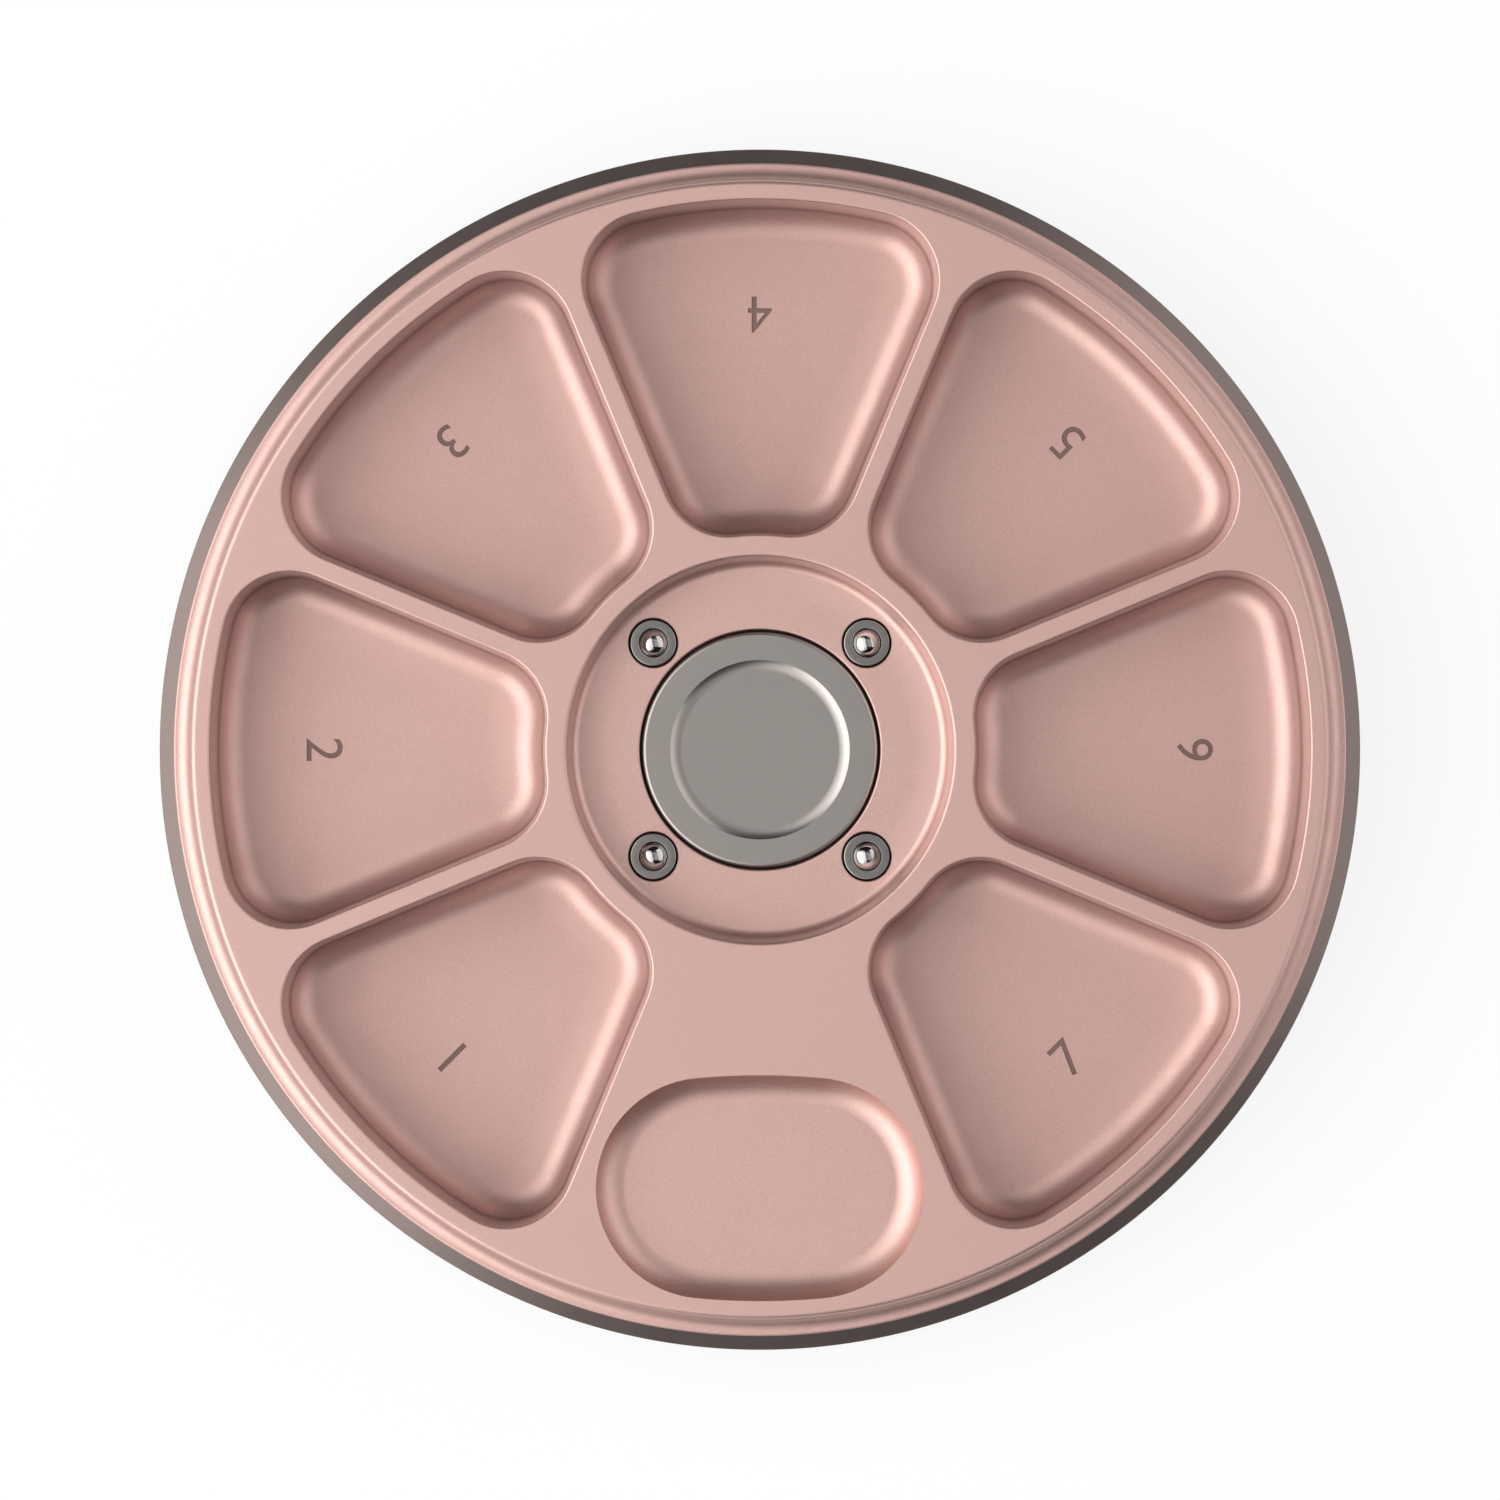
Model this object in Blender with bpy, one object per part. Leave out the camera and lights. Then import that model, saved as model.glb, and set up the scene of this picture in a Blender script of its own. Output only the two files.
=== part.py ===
"""Round weekly pill case without its lid: a turned shell, a milled tray with seven day pockets,
an oval dish for the thumb, and a hub with a steel disc and four spring-loaded balls.

Metres, +Z up. The origin is at the middle of the case, on the surface that it stands on.
The oval dish is at the front, towards -Y.
"""

import math

import bmesh
import bpy
from mathutils import Vector

# Clearances
SEAT_GAP = 0.0003  # between large pieces that rest on each other
FIT_GAP = 0.00015  # round small pressed or screwed pieces
BALL_GAP = 0.00005  # between a ball and the lip that holds it
OVERRUN = 0.001  # how far a cutter reaches past the face it opens
MERGE_DISTANCE = 0.000001

# Facets
CASE_STEPS = 72
HUB_STEPS = 36
SMALL_STEPS = 16
ARC_STEP = math.radians(31)  # widest turn between two points of a rounded corner
SMOOTH_ANGLE = math.radians(32)  # edges that turn more than this stay sharp

# Round the case
DAYS = 7
PLACES = DAYS + 1  # the eighth place is the oval dish
PLACE_ANGLE = math.tau / PLACES
DISH_ANGLE = -math.tau / 4

# Outwards from the middle: disc, hub, pockets, lid spigot, ledge
DISC_RADIUS = 0.01178
HUB_FLOOR_WIDTH = 0.0059
HUB_FLOOR_FILLET = 0.0009
HUB_EDGE_FILLET = 0.00085
HUB_LAND = 0.00182  # flat between the hub's edge and a pocket
POCKET_LENGTH = 0.0335
SPIGOT_LAND = 0.00195  # between a pocket and the spigot that the lid fits over
LEDGE_WIDTH = 0.00178
TRAY_WALL = 0.0017  # between a pocket and the tray's side inside the shell

disc_bore_radius = DISC_RADIUS + SEAT_GAP
hub_radius = disc_bore_radius + HUB_FLOOR_WIDTH + HUB_FLOOR_FILLET
pocket_inner_radius = hub_radius + HUB_EDGE_FILLET + HUB_LAND
pocket_outer_radius = pocket_inner_radius + POCKET_LENGTH
spigot_radius = pocket_outer_radius + SPIGOT_LAND
flange_radius = spigot_radius + LEDGE_WIDTH
tray_body_radius = pocket_outer_radius + TRAY_WALL

# Countersunk screws
DISC_SCREW_HEAD_RADIUS = 0.00275
DISC_SCREW_RADIUS = 0.0015
TRAY_SCREW_HEAD_RADIUS = 0.00235
TRAY_SCREW_RADIUS = 0.00125
TRAY_SCREW_LENGTH = 0.0080
TRAY_SCREWS = 4
TRAY_SCREW_INSET = 0.00355  # from the tray's side, in the metal between two pockets' corners
HEAD_EDGE = 0.0002  # straight edge of a head
HEAD_SUNK = 0.0001  # below the face it is driven into
SCREW_TIP = 0.0003
SOCKET_RADIUS = 0.0009
SOCKET_DEPTH = 0.0008
HOLE_SPARE = 0.0005  # a blind hole is this much deeper than its screw

# Foot ring, which covers the screws
FOOT_COVER = 0.00055  # past a screw's head on each side
FOOT_THICKNESS = 0.0011
FOOT_PROUD = 0.0006  # below the shell
FOOT_ROUNDING = 0.0003
FOOT_STEPS = 48

screw_circle_radius = tray_body_radius - TRAY_SCREW_INSET
foot_inner_radius = screw_circle_radius - TRAY_SCREW_HEAD_RADIUS - FOOT_COVER
foot_outer_radius = screw_circle_radius + TRAY_SCREW_HEAD_RADIUS + FOOT_COVER
groove_top = FOOT_THICKNESS + SEAT_GAP
tray_screw_foot = groove_top + HEAD_SUNK
tray_screw_tip = tray_screw_foot + TRAY_SCREW_LENGTH

# Upwards from the ground: shell floor, tray, top face
TRAY_FLOOR = 0.0014  # under the pockets
POCKET_DEPTH = 0.0120
SPIGOT_HEIGHT = 0.0028  # from the ledge up to the top face
FLANGE_THICKNESS = 0.0010
HUB_DEPTH = 0.0042

shell_bottom = FOOT_PROUD
shell_floor_top = tray_screw_foot + HEAD_EDGE + TRAY_SCREW_HEAD_RADIUS - TRAY_SCREW_RADIUS
tray_bottom = shell_floor_top + SEAT_GAP
pocket_floor = tray_bottom + TRAY_FLOOR
tray_top = pocket_floor + POCKET_DEPTH
ledge_top = tray_top - SPIGOT_HEIGHT
flange_bottom = ledge_top - FLANGE_THICKNESS
shell_rim_top = flange_bottom - SEAT_GAP
hub_floor = tray_top - HUB_DEPTH

# Edges of the tray
LEDGE_FILLET = 0.0015  # between ledge and spigot
TOP_FILLET = 0.00055
EDGE_BREAK = 0.00015
TRAY_CHAMFER = 0.0005
HUB_EDGE_STEPS = 3

# Pockets, milled
WEB_THICKNESS = 0.0020
POCKET_CORNER = 0.0068
POCKET_FILLET = 0.0032  # round the pocket's floor
WALL_LEAN = 0.0003  # how far a pocket's wall leans in, down to the fillet
CORNER_STEPS = 5
OUTER_ARC_STEPS = 6
INNER_ARC_STEPS = 3
FILLET_STEPS = 4

# Oval dish, milled
DISH_LENGTH = 0.03284
DISH_WIDTH = 0.0226
DISH_BULGE = 0.00025  # of each long side, past the round ends
DISH_DEPTH = 0.0029
DISH_REACH = 0.0001  # how far past the pockets' outer circle it ends
DISH_END_STEPS = 10
DISH_SIDE_STEPS = 3

dish_circle_radius = pocket_outer_radius + DISH_REACH - DISH_WIDTH / 2

# Shell
RIM_PROUD = 0.0001  # the shell stands out past the flange above it
SHELL_FLARE = 0.0027  # how far its side leans out, down to the underside
SHELL_CORNER = 0.0030  # round the outer lower corner
SHELL_INNER_CORNER = 0.0010

rim_radius = flange_radius + RIM_PROUD
shell_bore_radius = tray_body_radius + SEAT_GAP

# Steel disc and ring magnet
DISC_THICKNESS = 0.0030
DISC_PROUD = 0.00015
DISC_EDGE = 0.0003
DISC_RIM_WIDTH = 0.00277  # round the dished middle
DISC_COVE = 0.0020  # radius of the arc that the hollow rises along
DISC_HOLLOW = 0.00045
DISC_COVE_STEPS = 3
DISC_SHOULDER = 0.0007  # the disc reaches this far past the magnet
BOSS_WALL = 0.0020
DISC_THREAD_DEPTH = 0.0032  # up into the boss
MAGNET_THICKNESS = 0.0030
MAGNET_CHAMFER = 0.0003

boss_radius = DISC_SCREW_RADIUS + BOSS_WALL
magnet_radius = DISC_RADIUS - DISC_SHOULDER
magnet_bore_radius = magnet_radius + SEAT_GAP
disc_top = hub_floor + DISC_PROUD
disc_bottom = disc_top - DISC_THICKNESS
disc_shoulder_top = disc_bottom - SEAT_GAP
magnet_top = disc_bottom - SEAT_GAP
magnet_bottom = magnet_top - MAGNET_THICKNESS
magnet_seat = magnet_bottom - SEAT_GAP
disc_screw_foot = tray_bottom + HEAD_SUNK
disc_screw_tip = magnet_bottom + DISC_THREAD_DEPTH - SEAT_GAP

# Ball plungers, pressed into the hub
PLUNGERS = 4
PLUNGER_INSET = 0.003725  # from the hub's wall in to a plunger's axis
BALL_RADIUS = 0.0015
BALL_RINGS = 10
PLUNGER_LENGTH = 0.0050
PLUNGER_WALL = 0.00035
PLUNGER_FLOOR = 0.0005
PLUNGER_EDGE = 0.00012
COLLAR_WIDTH = 0.0003
COLLAR_THICKNESS = 0.0009
LIP_HOLD = 0.00005  # the lip is this much narrower than the ball
LIP_FLARE = 0.00005
LIP_TOP = 0.00004
LIP_BOTTOM = 0.00008
SWAGE_DEPTH = 0.0004
SPRING_CLEARANCE = 0.0003
SPRING_WIRE_RADIUS = 0.00015
SPRING_CURLS = 3
CURL_POINTS = 9

plunger_circle_radius = hub_radius - PLUNGER_INSET
plunger_bore_radius = BALL_RADIUS + FIT_GAP
plunger_radius = plunger_bore_radius + PLUNGER_WALL
collar_radius = plunger_radius + COLLAR_WIDTH
lip_radius = BALL_RADIUS - LIP_HOLD
ball_drop = LIP_BOTTOM + math.sqrt((BALL_RADIUS + BALL_GAP) ** 2 - lip_radius ** 2)
spring_radius = plunger_bore_radius - SPRING_CLEARANCE - SPRING_WIRE_RADIUS
spring_reach = math.sqrt((BALL_RADIUS + SPRING_WIRE_RADIUS + BALL_GAP) ** 2 - spring_radius ** 2)
spring_top = ball_drop + spring_reach
spring_bottom = PLUNGER_LENGTH - PLUNGER_FLOOR - SPRING_WIRE_RADIUS - BALL_GAP


def clear_scene():
    """Empties the open file."""
    for thing in list(bpy.data.objects):
        bpy.data.objects.remove(thing, do_unlink=True)


def make_material(name, colour, metallic, roughness):
    """A Principled material; colour is linear red, green, blue."""
    material = bpy.data.materials.new(name)
    material.use_nodes = True
    shader = material.node_tree.nodes["Principled BSDF"]
    shader.inputs["Base Color"].default_value = (*colour, 1)
    shader.inputs["Metallic"].default_value = metallic
    shader.inputs["Roughness"].default_value = roughness
    material.diffuse_color = (*colour, 1)
    return material


def place(name, mesh, material=None, location=(0, 0, 0), turn=0):
    """Puts a mesh in the scene as an object, turned about its own upright axis."""
    thing = bpy.data.objects.new(name, mesh)
    bpy.context.scene.collection.objects.link(thing)
    thing.location = location
    thing.rotation_euler = (0, 0, turn)
    if material:
        mesh.materials.clear()
        mesh.materials.append(material)
    return thing


def finish_mesh(name, shape):
    """Turns a bmesh into a mesh with its faces pointing out, smooth but for its real edges."""
    bmesh.ops.recalc_face_normals(shape, faces=shape.faces)
    mesh = bpy.data.meshes.new(name)
    shape.to_mesh(mesh)
    shape.free()
    mesh.shade_smooth()
    mesh.set_sharp_from_angle(angle=SMOOTH_ANGLE)
    return mesh


def arc(centre, radius, start, end, steps):
    """Points along an arc about centre, both ends included."""
    turns = [start + (end - start) * step / steps for step in range(steps + 1)]
    return [(centre[0] + radius * math.cos(turn), centre[1] + radius * math.sin(turn)) for turn in turns]


def rounded(corners):
    """A profile through corners given as (across, up, fillet radius), its fillets as arcs."""
    points = []
    for number, (across, up, fillet) in enumerate(corners):
        here = Vector((across, up))
        if not fillet:
            points.append(tuple(here))
            continue
        before = (Vector(corners[number - 1][:2]) - here).normalized()
        after = (Vector(corners[(number + 1) % len(corners)][:2]) - here).normalized()
        half = before.angle(after) / 2
        centre = here + (before + after).normalized() * fillet / math.sin(half)
        start = here + before * fillet / math.tan(half) - centre
        turn = math.pi - 2 * half
        steps = max(1, math.ceil(turn / ARC_STEP))
        side = 1 if before.cross(after) < 0 else -1
        first = math.atan2(start.y, start.x)
        points += arc(centre, fillet, first, first + side * turn, steps)
    return points


def turned(name, profile, steps, closed=False):
    """Spins a profile of (radius, height) points about the upright axis.

    A closed profile gives a ring. An open one is capped flat at each end, or meets the axis there.
    """
    shape = bmesh.new()
    points = [shape.verts.new((radius, 0, height)) for radius, height in profile]
    edges = [shape.edges.new(pair) for pair in zip(points, points[1:])]
    if closed:
        edges.append(shape.edges.new((points[-1], points[0])))
    bmesh.ops.spin(
        shape, geom=points + edges, cent=(0, 0, 0), axis=(0, 0, 1), angle=math.tau, steps=steps,
        use_merge=True,
    )
    bmesh.ops.remove_doubles(shape, verts=shape.verts, dist=MERGE_DISTANCE)
    bmesh.ops.holes_fill(shape, edges=[edge for edge in shape.edges if edge.is_boundary], sides=0)
    return finish_mesh(name, shape)


def lofted(name, rings):
    """Joins rings of as many points each, then closes the first and the last one flat."""
    shape = bmesh.new()
    loops = [[shape.verts.new(point) for point in ring] for ring in rings]
    for lower, upper in zip(loops, loops[1:]):
        for number, point in enumerate(lower):
            following = (number + 1) % len(lower)
            shape.faces.new((point, lower[following], upper[following], upper[number]))
    shape.faces.new(loops[0])
    shape.faces.new(loops[-1])
    return finish_mesh(name, shape)


def cut(thing, name, mesh, location=(0, 0, 0), turn=0):
    """Cuts mesh out of thing with a Boolean that keeps its cutter as a wire guide."""
    cutter = place(name, mesh, location=location, turn=turn)
    cutter.display_type = "WIRE"
    cutter.hide_render = True
    boolean = thing.modifiers.new(name, "BOOLEAN")
    boolean.operation = "DIFFERENCE"
    boolean.solver = "EXACT"
    boolean.object = cutter


def on_circle(radius, angle, height=0):
    """A place on a circle about the case's axis."""
    return (radius * math.cos(angle), radius * math.sin(angle), height)


def pocket_outline(inset):
    """A pocket's outline about +X: two arcs about the hub, two sides beside the webs, round corners.

    Its corners keep their centres, so an inset outline lies evenly inside the one at zero.
    """
    half_web = WEB_THICKNESS / 2
    corner = POCKET_CORNER - inset
    half_angle = PLACE_ANGLE / 2
    off_web = half_web + POCKET_CORNER
    outer_circle = pocket_outer_radius - POCKET_CORNER
    inner_circle = pocket_inner_radius + POCKET_CORNER
    outer_turn = half_angle - math.asin(off_web / outer_circle)
    inner_turn = half_angle - math.asin(off_web / inner_circle)
    square = math.pi / 2
    outer_low = on_circle(outer_circle, -outer_turn)
    outer_high = on_circle(outer_circle, outer_turn)
    inner_high = on_circle(inner_circle, inner_turn)
    inner_low = on_circle(inner_circle, -inner_turn)
    points = arc(outer_low, corner, -square - half_angle, -outer_turn, CORNER_STEPS)
    points += arc((0, 0), pocket_outer_radius - inset, -outer_turn, outer_turn, OUTER_ARC_STEPS)[1:-1]
    points += arc(outer_high, corner, outer_turn, square + half_angle, CORNER_STEPS)
    points += arc(inner_high, corner, square + half_angle, math.pi + inner_turn, CORNER_STEPS)
    points += arc((0, 0), pocket_inner_radius + inset, inner_turn, -inner_turn, INNER_ARC_STEPS)[1:-1]
    points += arc(inner_low, corner, math.pi - inner_turn, math.tau - square - half_angle, CORNER_STEPS)
    return points


def pocket_mesh():
    """The space of one pocket about +X, from above the tray's top down to the pocket's floor."""
    flare = EDGE_BREAK + OVERRUN
    levels = [(-flare, tray_top + OVERRUN), (0, tray_top - EDGE_BREAK)]
    for step in range(FILLET_STEPS + 1):
        turn = math.pi / 2 * step / FILLET_STEPS
        inset = WALL_LEAN + POCKET_FILLET * (1 - math.cos(turn))
        levels.append((inset, pocket_floor + POCKET_FILLET * (1 - math.sin(turn))))
    rings = [[(*point, height) for point in pocket_outline(inset)] for inset, height in levels]
    return lofted("pocket_space", rings)


def dish_outline(inset):
    """The oval dish's outline about its middle: two round ends and two long sides that bulge."""
    end_radius = DISH_WIDTH / 2 - DISH_BULGE
    end_centre = DISH_LENGTH / 2 - end_radius
    side_centre = (end_centre ** 2 - DISH_BULGE ** 2) / (2 * DISH_BULGE)
    side_radius = side_centre + DISH_WIDTH / 2
    lean = math.atan2(end_centre, side_centre)
    square = math.pi / 2
    end = end_radius - inset
    side = side_radius - inset
    points = arc((end_centre, 0), end, -square + lean, square - lean, DISH_END_STEPS)
    points += arc((0, -side_centre), side, square - lean, square + lean, DISH_SIDE_STEPS)[1:-1]
    points += arc((-end_centre, 0), end, square + lean, 3 * square - lean, DISH_END_STEPS)
    points += arc((0, side_centre), side, 3 * square - lean, 3 * square + lean, DISH_SIDE_STEPS)[1:-1]
    return points


def dish_mesh():
    """The space of the oval dish: a quarter-round wall down to a flat floor."""
    dish_floor = tray_top - DISH_DEPTH
    levels = [(0, tray_top + OVERRUN)]
    for step in range(FILLET_STEPS + 1):
        turn = math.pi / 2 * step / FILLET_STEPS
        inset = DISH_DEPTH * (1 - math.cos(turn))
        levels.append((inset, dish_floor + DISH_DEPTH * (1 - math.sin(turn))))
    rings = [[(*point, height) for point in dish_outline(inset)] for inset, height in levels]
    return lofted("dish_space", rings)


def hub_mesh():
    """The space turned out of the tray's hub: recess, disc bore, magnet bore and screw hole."""
    edge = hub_radius + HUB_EDGE_FILLET
    hole = DISC_SCREW_RADIUS + FIT_GAP
    sink = DISC_SCREW_HEAD_RADIUS + FIT_GAP
    sink_top = disc_screw_foot + HEAD_EDGE
    profile = [(edge, tray_top + OVERRUN)]
    profile += arc((edge, tray_top - HUB_EDGE_FILLET), HUB_EDGE_FILLET, math.pi / 2, math.pi, HUB_EDGE_STEPS)
    profile += rounded([
        (hub_radius, tray_top - HUB_EDGE_FILLET, 0),
        (hub_radius, hub_floor, HUB_FLOOR_FILLET),
        (disc_bore_radius, hub_floor, 0),
        (disc_bore_radius, disc_shoulder_top, 0),
        (magnet_bore_radius, disc_shoulder_top, 0),
        (magnet_bore_radius, magnet_seat, 0),
        (hole, magnet_seat, 0),
        (hole, sink_top + sink - hole, 0),
        (sink, sink_top, 0),
        (sink, tray_bottom - OVERRUN, 0),
    ])[1:]
    return turned("hub_space", profile, HUB_STEPS)


def plunger_place(number):
    """Where a plunger's collar top is, and how far round the hub it sits."""
    angle = PLACE_ANGLE + math.tau * number / PLUNGERS
    return on_circle(plunger_circle_radius, angle, hub_floor), angle


def plunger_hole_mesh():
    """The counterbored hole for a plunger, with its top at the hub's floor."""
    bore = plunger_radius + FIT_GAP
    counterbore = collar_radius + FIT_GAP
    step = -COLLAR_THICKNESS - FIT_GAP
    profile = [
        (counterbore, OVERRUN),
        (counterbore, step),
        (bore, step),
        (bore, -PLUNGER_LENGTH - SEAT_GAP),
    ]
    return turned("plunger_hole_space", profile, SMALL_STEPS)


def screw_angle(number):
    """The screws go up beside every second web, where two pockets' round corners leave metal."""
    return PLACE_ANGLE / 2 + math.tau * number / TRAY_SCREWS


def make_tray(material):
    """The milled tray: a turned block, its pockets, dish, hub and holes."""
    profile = rounded([
        (tray_body_radius - TRAY_CHAMFER, tray_bottom, 0),
        (tray_body_radius, tray_bottom + TRAY_CHAMFER, 0),
        (tray_body_radius, flange_bottom, 0),
        (flange_radius, flange_bottom, 0),
        (flange_radius, ledge_top - EDGE_BREAK, 0),
        (flange_radius - EDGE_BREAK, ledge_top, 0),
        (spigot_radius, ledge_top, LEDGE_FILLET),
        (spigot_radius, tray_top, TOP_FILLET),
        (spigot_radius - TOP_FILLET - EDGE_BREAK, tray_top, 0),
    ])
    tray = place("tray", turned("tray", profile, CASE_STEPS), material)
    cut(tray, "hub_cutter", hub_mesh())
    pocket = pocket_mesh()
    for day in range(DAYS):
        turn = DISH_ANGLE - PLACE_ANGLE * (day + 1)
        cut(tray, f"pocket_cutter_{day + 1}", pocket, turn=turn)
    cut(tray, "dish_cutter", dish_mesh(), on_circle(dish_circle_radius, DISH_ANGLE))
    hole = plunger_hole_mesh()
    for number in range(PLUNGERS):
        centre, angle = plunger_place(number)
        cut(tray, f"plunger_cutter_{number + 1}", hole, centre, angle)
    thread = TRAY_SCREW_RADIUS + FIT_GAP
    profile = [(thread, tray_bottom - OVERRUN), (thread, tray_screw_tip + HOLE_SPARE)]
    hole = turned("thread_space", profile, SMALL_STEPS)
    for number in range(TRAY_SCREWS):
        angle = screw_angle(number)
        cut(tray, f"thread_cutter_{number + 1}", hole, on_circle(screw_circle_radius, angle), angle)
    return tray


def make_shell(material):
    """The turned shell: underside with the foot's groove, leaning side, rim and inside."""
    profile = rounded([
        (foot_inner_radius - SEAT_GAP, shell_bottom, 0),
        (foot_inner_radius - SEAT_GAP, groove_top, 0),
        (foot_outer_radius + SEAT_GAP, groove_top, 0),
        (foot_outer_radius + SEAT_GAP, shell_bottom, 0),
        (rim_radius + SHELL_FLARE, shell_bottom, SHELL_CORNER),
        (rim_radius, shell_rim_top - EDGE_BREAK, 0),
        (rim_radius - EDGE_BREAK, shell_rim_top, 0),
        (shell_bore_radius, shell_rim_top, 0),
        (shell_bore_radius, shell_floor_top, SHELL_INNER_CORNER),
        (shell_bore_radius - SHELL_INNER_CORNER - EDGE_BREAK, shell_floor_top, 0),
    ])
    shell = place("base_shell", turned("base_shell", profile, CASE_STEPS), material)
    thread = TRAY_SCREW_RADIUS + FIT_GAP
    sink = TRAY_SCREW_HEAD_RADIUS + FIT_GAP
    sink_top = tray_screw_foot + HEAD_EDGE
    profile = [
        (sink, groove_top - OVERRUN),
        (sink, sink_top),
        (thread, sink_top + sink - thread),
        (thread, shell_floor_top + OVERRUN),
    ]
    hole = turned("countersink_space", profile, SMALL_STEPS)
    for number in range(TRAY_SCREWS):
        angle = screw_angle(number)
        cut(shell, f"countersink_cutter_{number + 1}", hole, on_circle(screw_circle_radius, angle), angle)
    return shell


def make_foot(material):
    """The silicone ring in the shell's groove, flat below, with soft lower edges."""
    profile = rounded([
        (foot_inner_radius, 0, FOOT_ROUNDING),
        (foot_outer_radius, 0, FOOT_ROUNDING),
        (foot_outer_radius, FOOT_THICKNESS, 0),
        (foot_inner_radius, FOOT_THICKNESS, 0),
    ])
    return place("foot_ring", turned("foot_ring", profile, FOOT_STEPS, closed=True), material)


def make_disc(material):
    """The steel disc: a dished middle, a broken edge and a threaded boss underneath."""
    thread = DISC_SCREW_RADIUS + FIT_GAP
    hollow_radius = DISC_RADIUS - DISC_RIM_WIDTH
    slope = math.acos(1 - DISC_HOLLOW / DISC_COVE)
    centre = (hollow_radius - DISC_COVE * math.sin(slope), disc_top - DISC_HOLLOW + DISC_COVE)
    down = -math.pi / 2
    profile = arc(centre, DISC_COVE, down, down + slope, DISC_COVE_STEPS)[:-1]
    profile += rounded([
        (hollow_radius, disc_top, 0),
        (DISC_RADIUS, disc_top, DISC_EDGE),
        (DISC_RADIUS, disc_bottom, 0),
        (boss_radius, disc_bottom, 0),
        (boss_radius, magnet_bottom, 0),
        (thread, magnet_bottom, 0),
        (thread, magnet_bottom + DISC_THREAD_DEPTH, 0),
    ])
    return place("centre_disc", turned("centre_disc", profile, HUB_STEPS), material)


def make_magnet(material):
    """The ring magnet round the disc's boss."""
    bore = boss_radius + SEAT_GAP
    profile = [
        (bore, magnet_bottom),
        (magnet_radius - MAGNET_CHAMFER, magnet_bottom),
        (magnet_radius, magnet_bottom + MAGNET_CHAMFER),
        (magnet_radius, magnet_top - MAGNET_CHAMFER),
        (magnet_radius - MAGNET_CHAMFER, magnet_top),
        (bore, magnet_top),
    ]
    return place("centre_magnet", turned("centre_magnet", profile, HUB_STEPS, closed=True), material)


def screw_mesh(name, head_radius, thread_radius, length):
    """A countersunk screw that stands on its head at the origin and points up."""
    profile = [
        (head_radius, 0),
        (head_radius, HEAD_EDGE),
        (thread_radius, HEAD_EDGE + head_radius - thread_radius),
        (thread_radius, length - SCREW_TIP),
        (thread_radius - SCREW_TIP, length),
    ]
    return turned(name, profile, SMALL_STEPS)


def socket_mesh():
    """The hexagon socket that a screw is driven by."""
    profile = [(SOCKET_RADIUS, -OVERRUN), (SOCKET_RADIUS, SOCKET_DEPTH)]
    return turned("socket_space", profile, 6)


def make_screws(material):
    """The disc's screw and the tray's screws, each with its socket."""
    socket = socket_mesh()
    length = disc_screw_tip - disc_screw_foot
    mesh = screw_mesh("disc_screw", DISC_SCREW_HEAD_RADIUS, DISC_SCREW_RADIUS, length)
    foot = (0, 0, disc_screw_foot)
    cut(place("disc_screw", mesh, material, foot), "disc_socket_cutter", socket, foot)
    mesh = screw_mesh("tray_screw", TRAY_SCREW_HEAD_RADIUS, TRAY_SCREW_RADIUS, TRAY_SCREW_LENGTH)
    for number in range(TRAY_SCREWS):
        foot = on_circle(screw_circle_radius, screw_angle(number), tray_screw_foot)
        screw = place(f"tray_screw_{number + 1}", mesh, material, foot, screw_angle(number))
        cut(screw, f"tray_socket_cutter_{number + 1}", socket, foot, screw_angle(number))


def plunger_mesh():
    """A plunger's sleeve with its collar top at the origin: collar, lip over the ball, bore."""
    profile = [
        (plunger_radius - PLUNGER_EDGE, -PLUNGER_LENGTH),
        (plunger_radius, PLUNGER_EDGE - PLUNGER_LENGTH),
        (plunger_radius, -COLLAR_THICKNESS),
        (collar_radius, -COLLAR_THICKNESS),
        (collar_radius, -PLUNGER_EDGE),
        (collar_radius - PLUNGER_EDGE, 0),
        (lip_radius + LIP_FLARE, 0),
        (lip_radius, -LIP_TOP),
        (lip_radius, -LIP_BOTTOM),
        (plunger_bore_radius, -SWAGE_DEPTH),
        (plunger_bore_radius, PLUNGER_FLOOR - PLUNGER_LENGTH),
    ]
    return turned("plunger_body", profile, SMALL_STEPS)


def ball_mesh():
    """A steel ball about its middle."""
    profile = arc((0, 0), BALL_RADIUS, -math.pi / 2, math.pi / 2, BALL_RINGS)
    profile[0] = (0, -BALL_RADIUS)
    profile[-1] = (0, BALL_RADIUS)
    return turned("plunger_ball", profile, SMALL_STEPS)


def spring_points():
    """The middle of a spring's wire, from its foot up, with the collar top at the origin."""
    count = SPRING_CURLS * CURL_POINTS
    height = spring_bottom - spring_top
    points = []
    for step in range(count + 1):
        turn = math.tau * step / CURL_POINTS
        points.append(on_circle(spring_radius, turn, height * step / count - spring_bottom))
    return points


def least_gap(points, wire_radius):
    """The smallest space that a wound wire leaves to itself, half a curl or more apart."""
    apart = CURL_POINTS // 2
    nearest = min(
        (Vector(there) - Vector(here)).length
        for number, here in enumerate(points)
        for there in points[number + apart:]
    )
    return nearest - 2 * wire_radius


def spring_curve():
    """A spring as one round wire along its points."""
    points = spring_points()
    curve = bpy.data.curves.new("plunger_spring", "CURVE")
    curve.dimensions = "3D"
    curve.bevel_depth = SPRING_WIRE_RADIUS
    curve.bevel_resolution = 1
    curve.use_fill_caps = True
    spline = curve.splines.new("POLY")
    spline.points.add(len(points) - 1)
    for point, where in zip(spline.points, points):
        point.co = (*where, 1)
    print("Least gap between a spring's curls, m:", round(least_gap(points, SPRING_WIRE_RADIUS), 6))
    return curve


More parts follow.
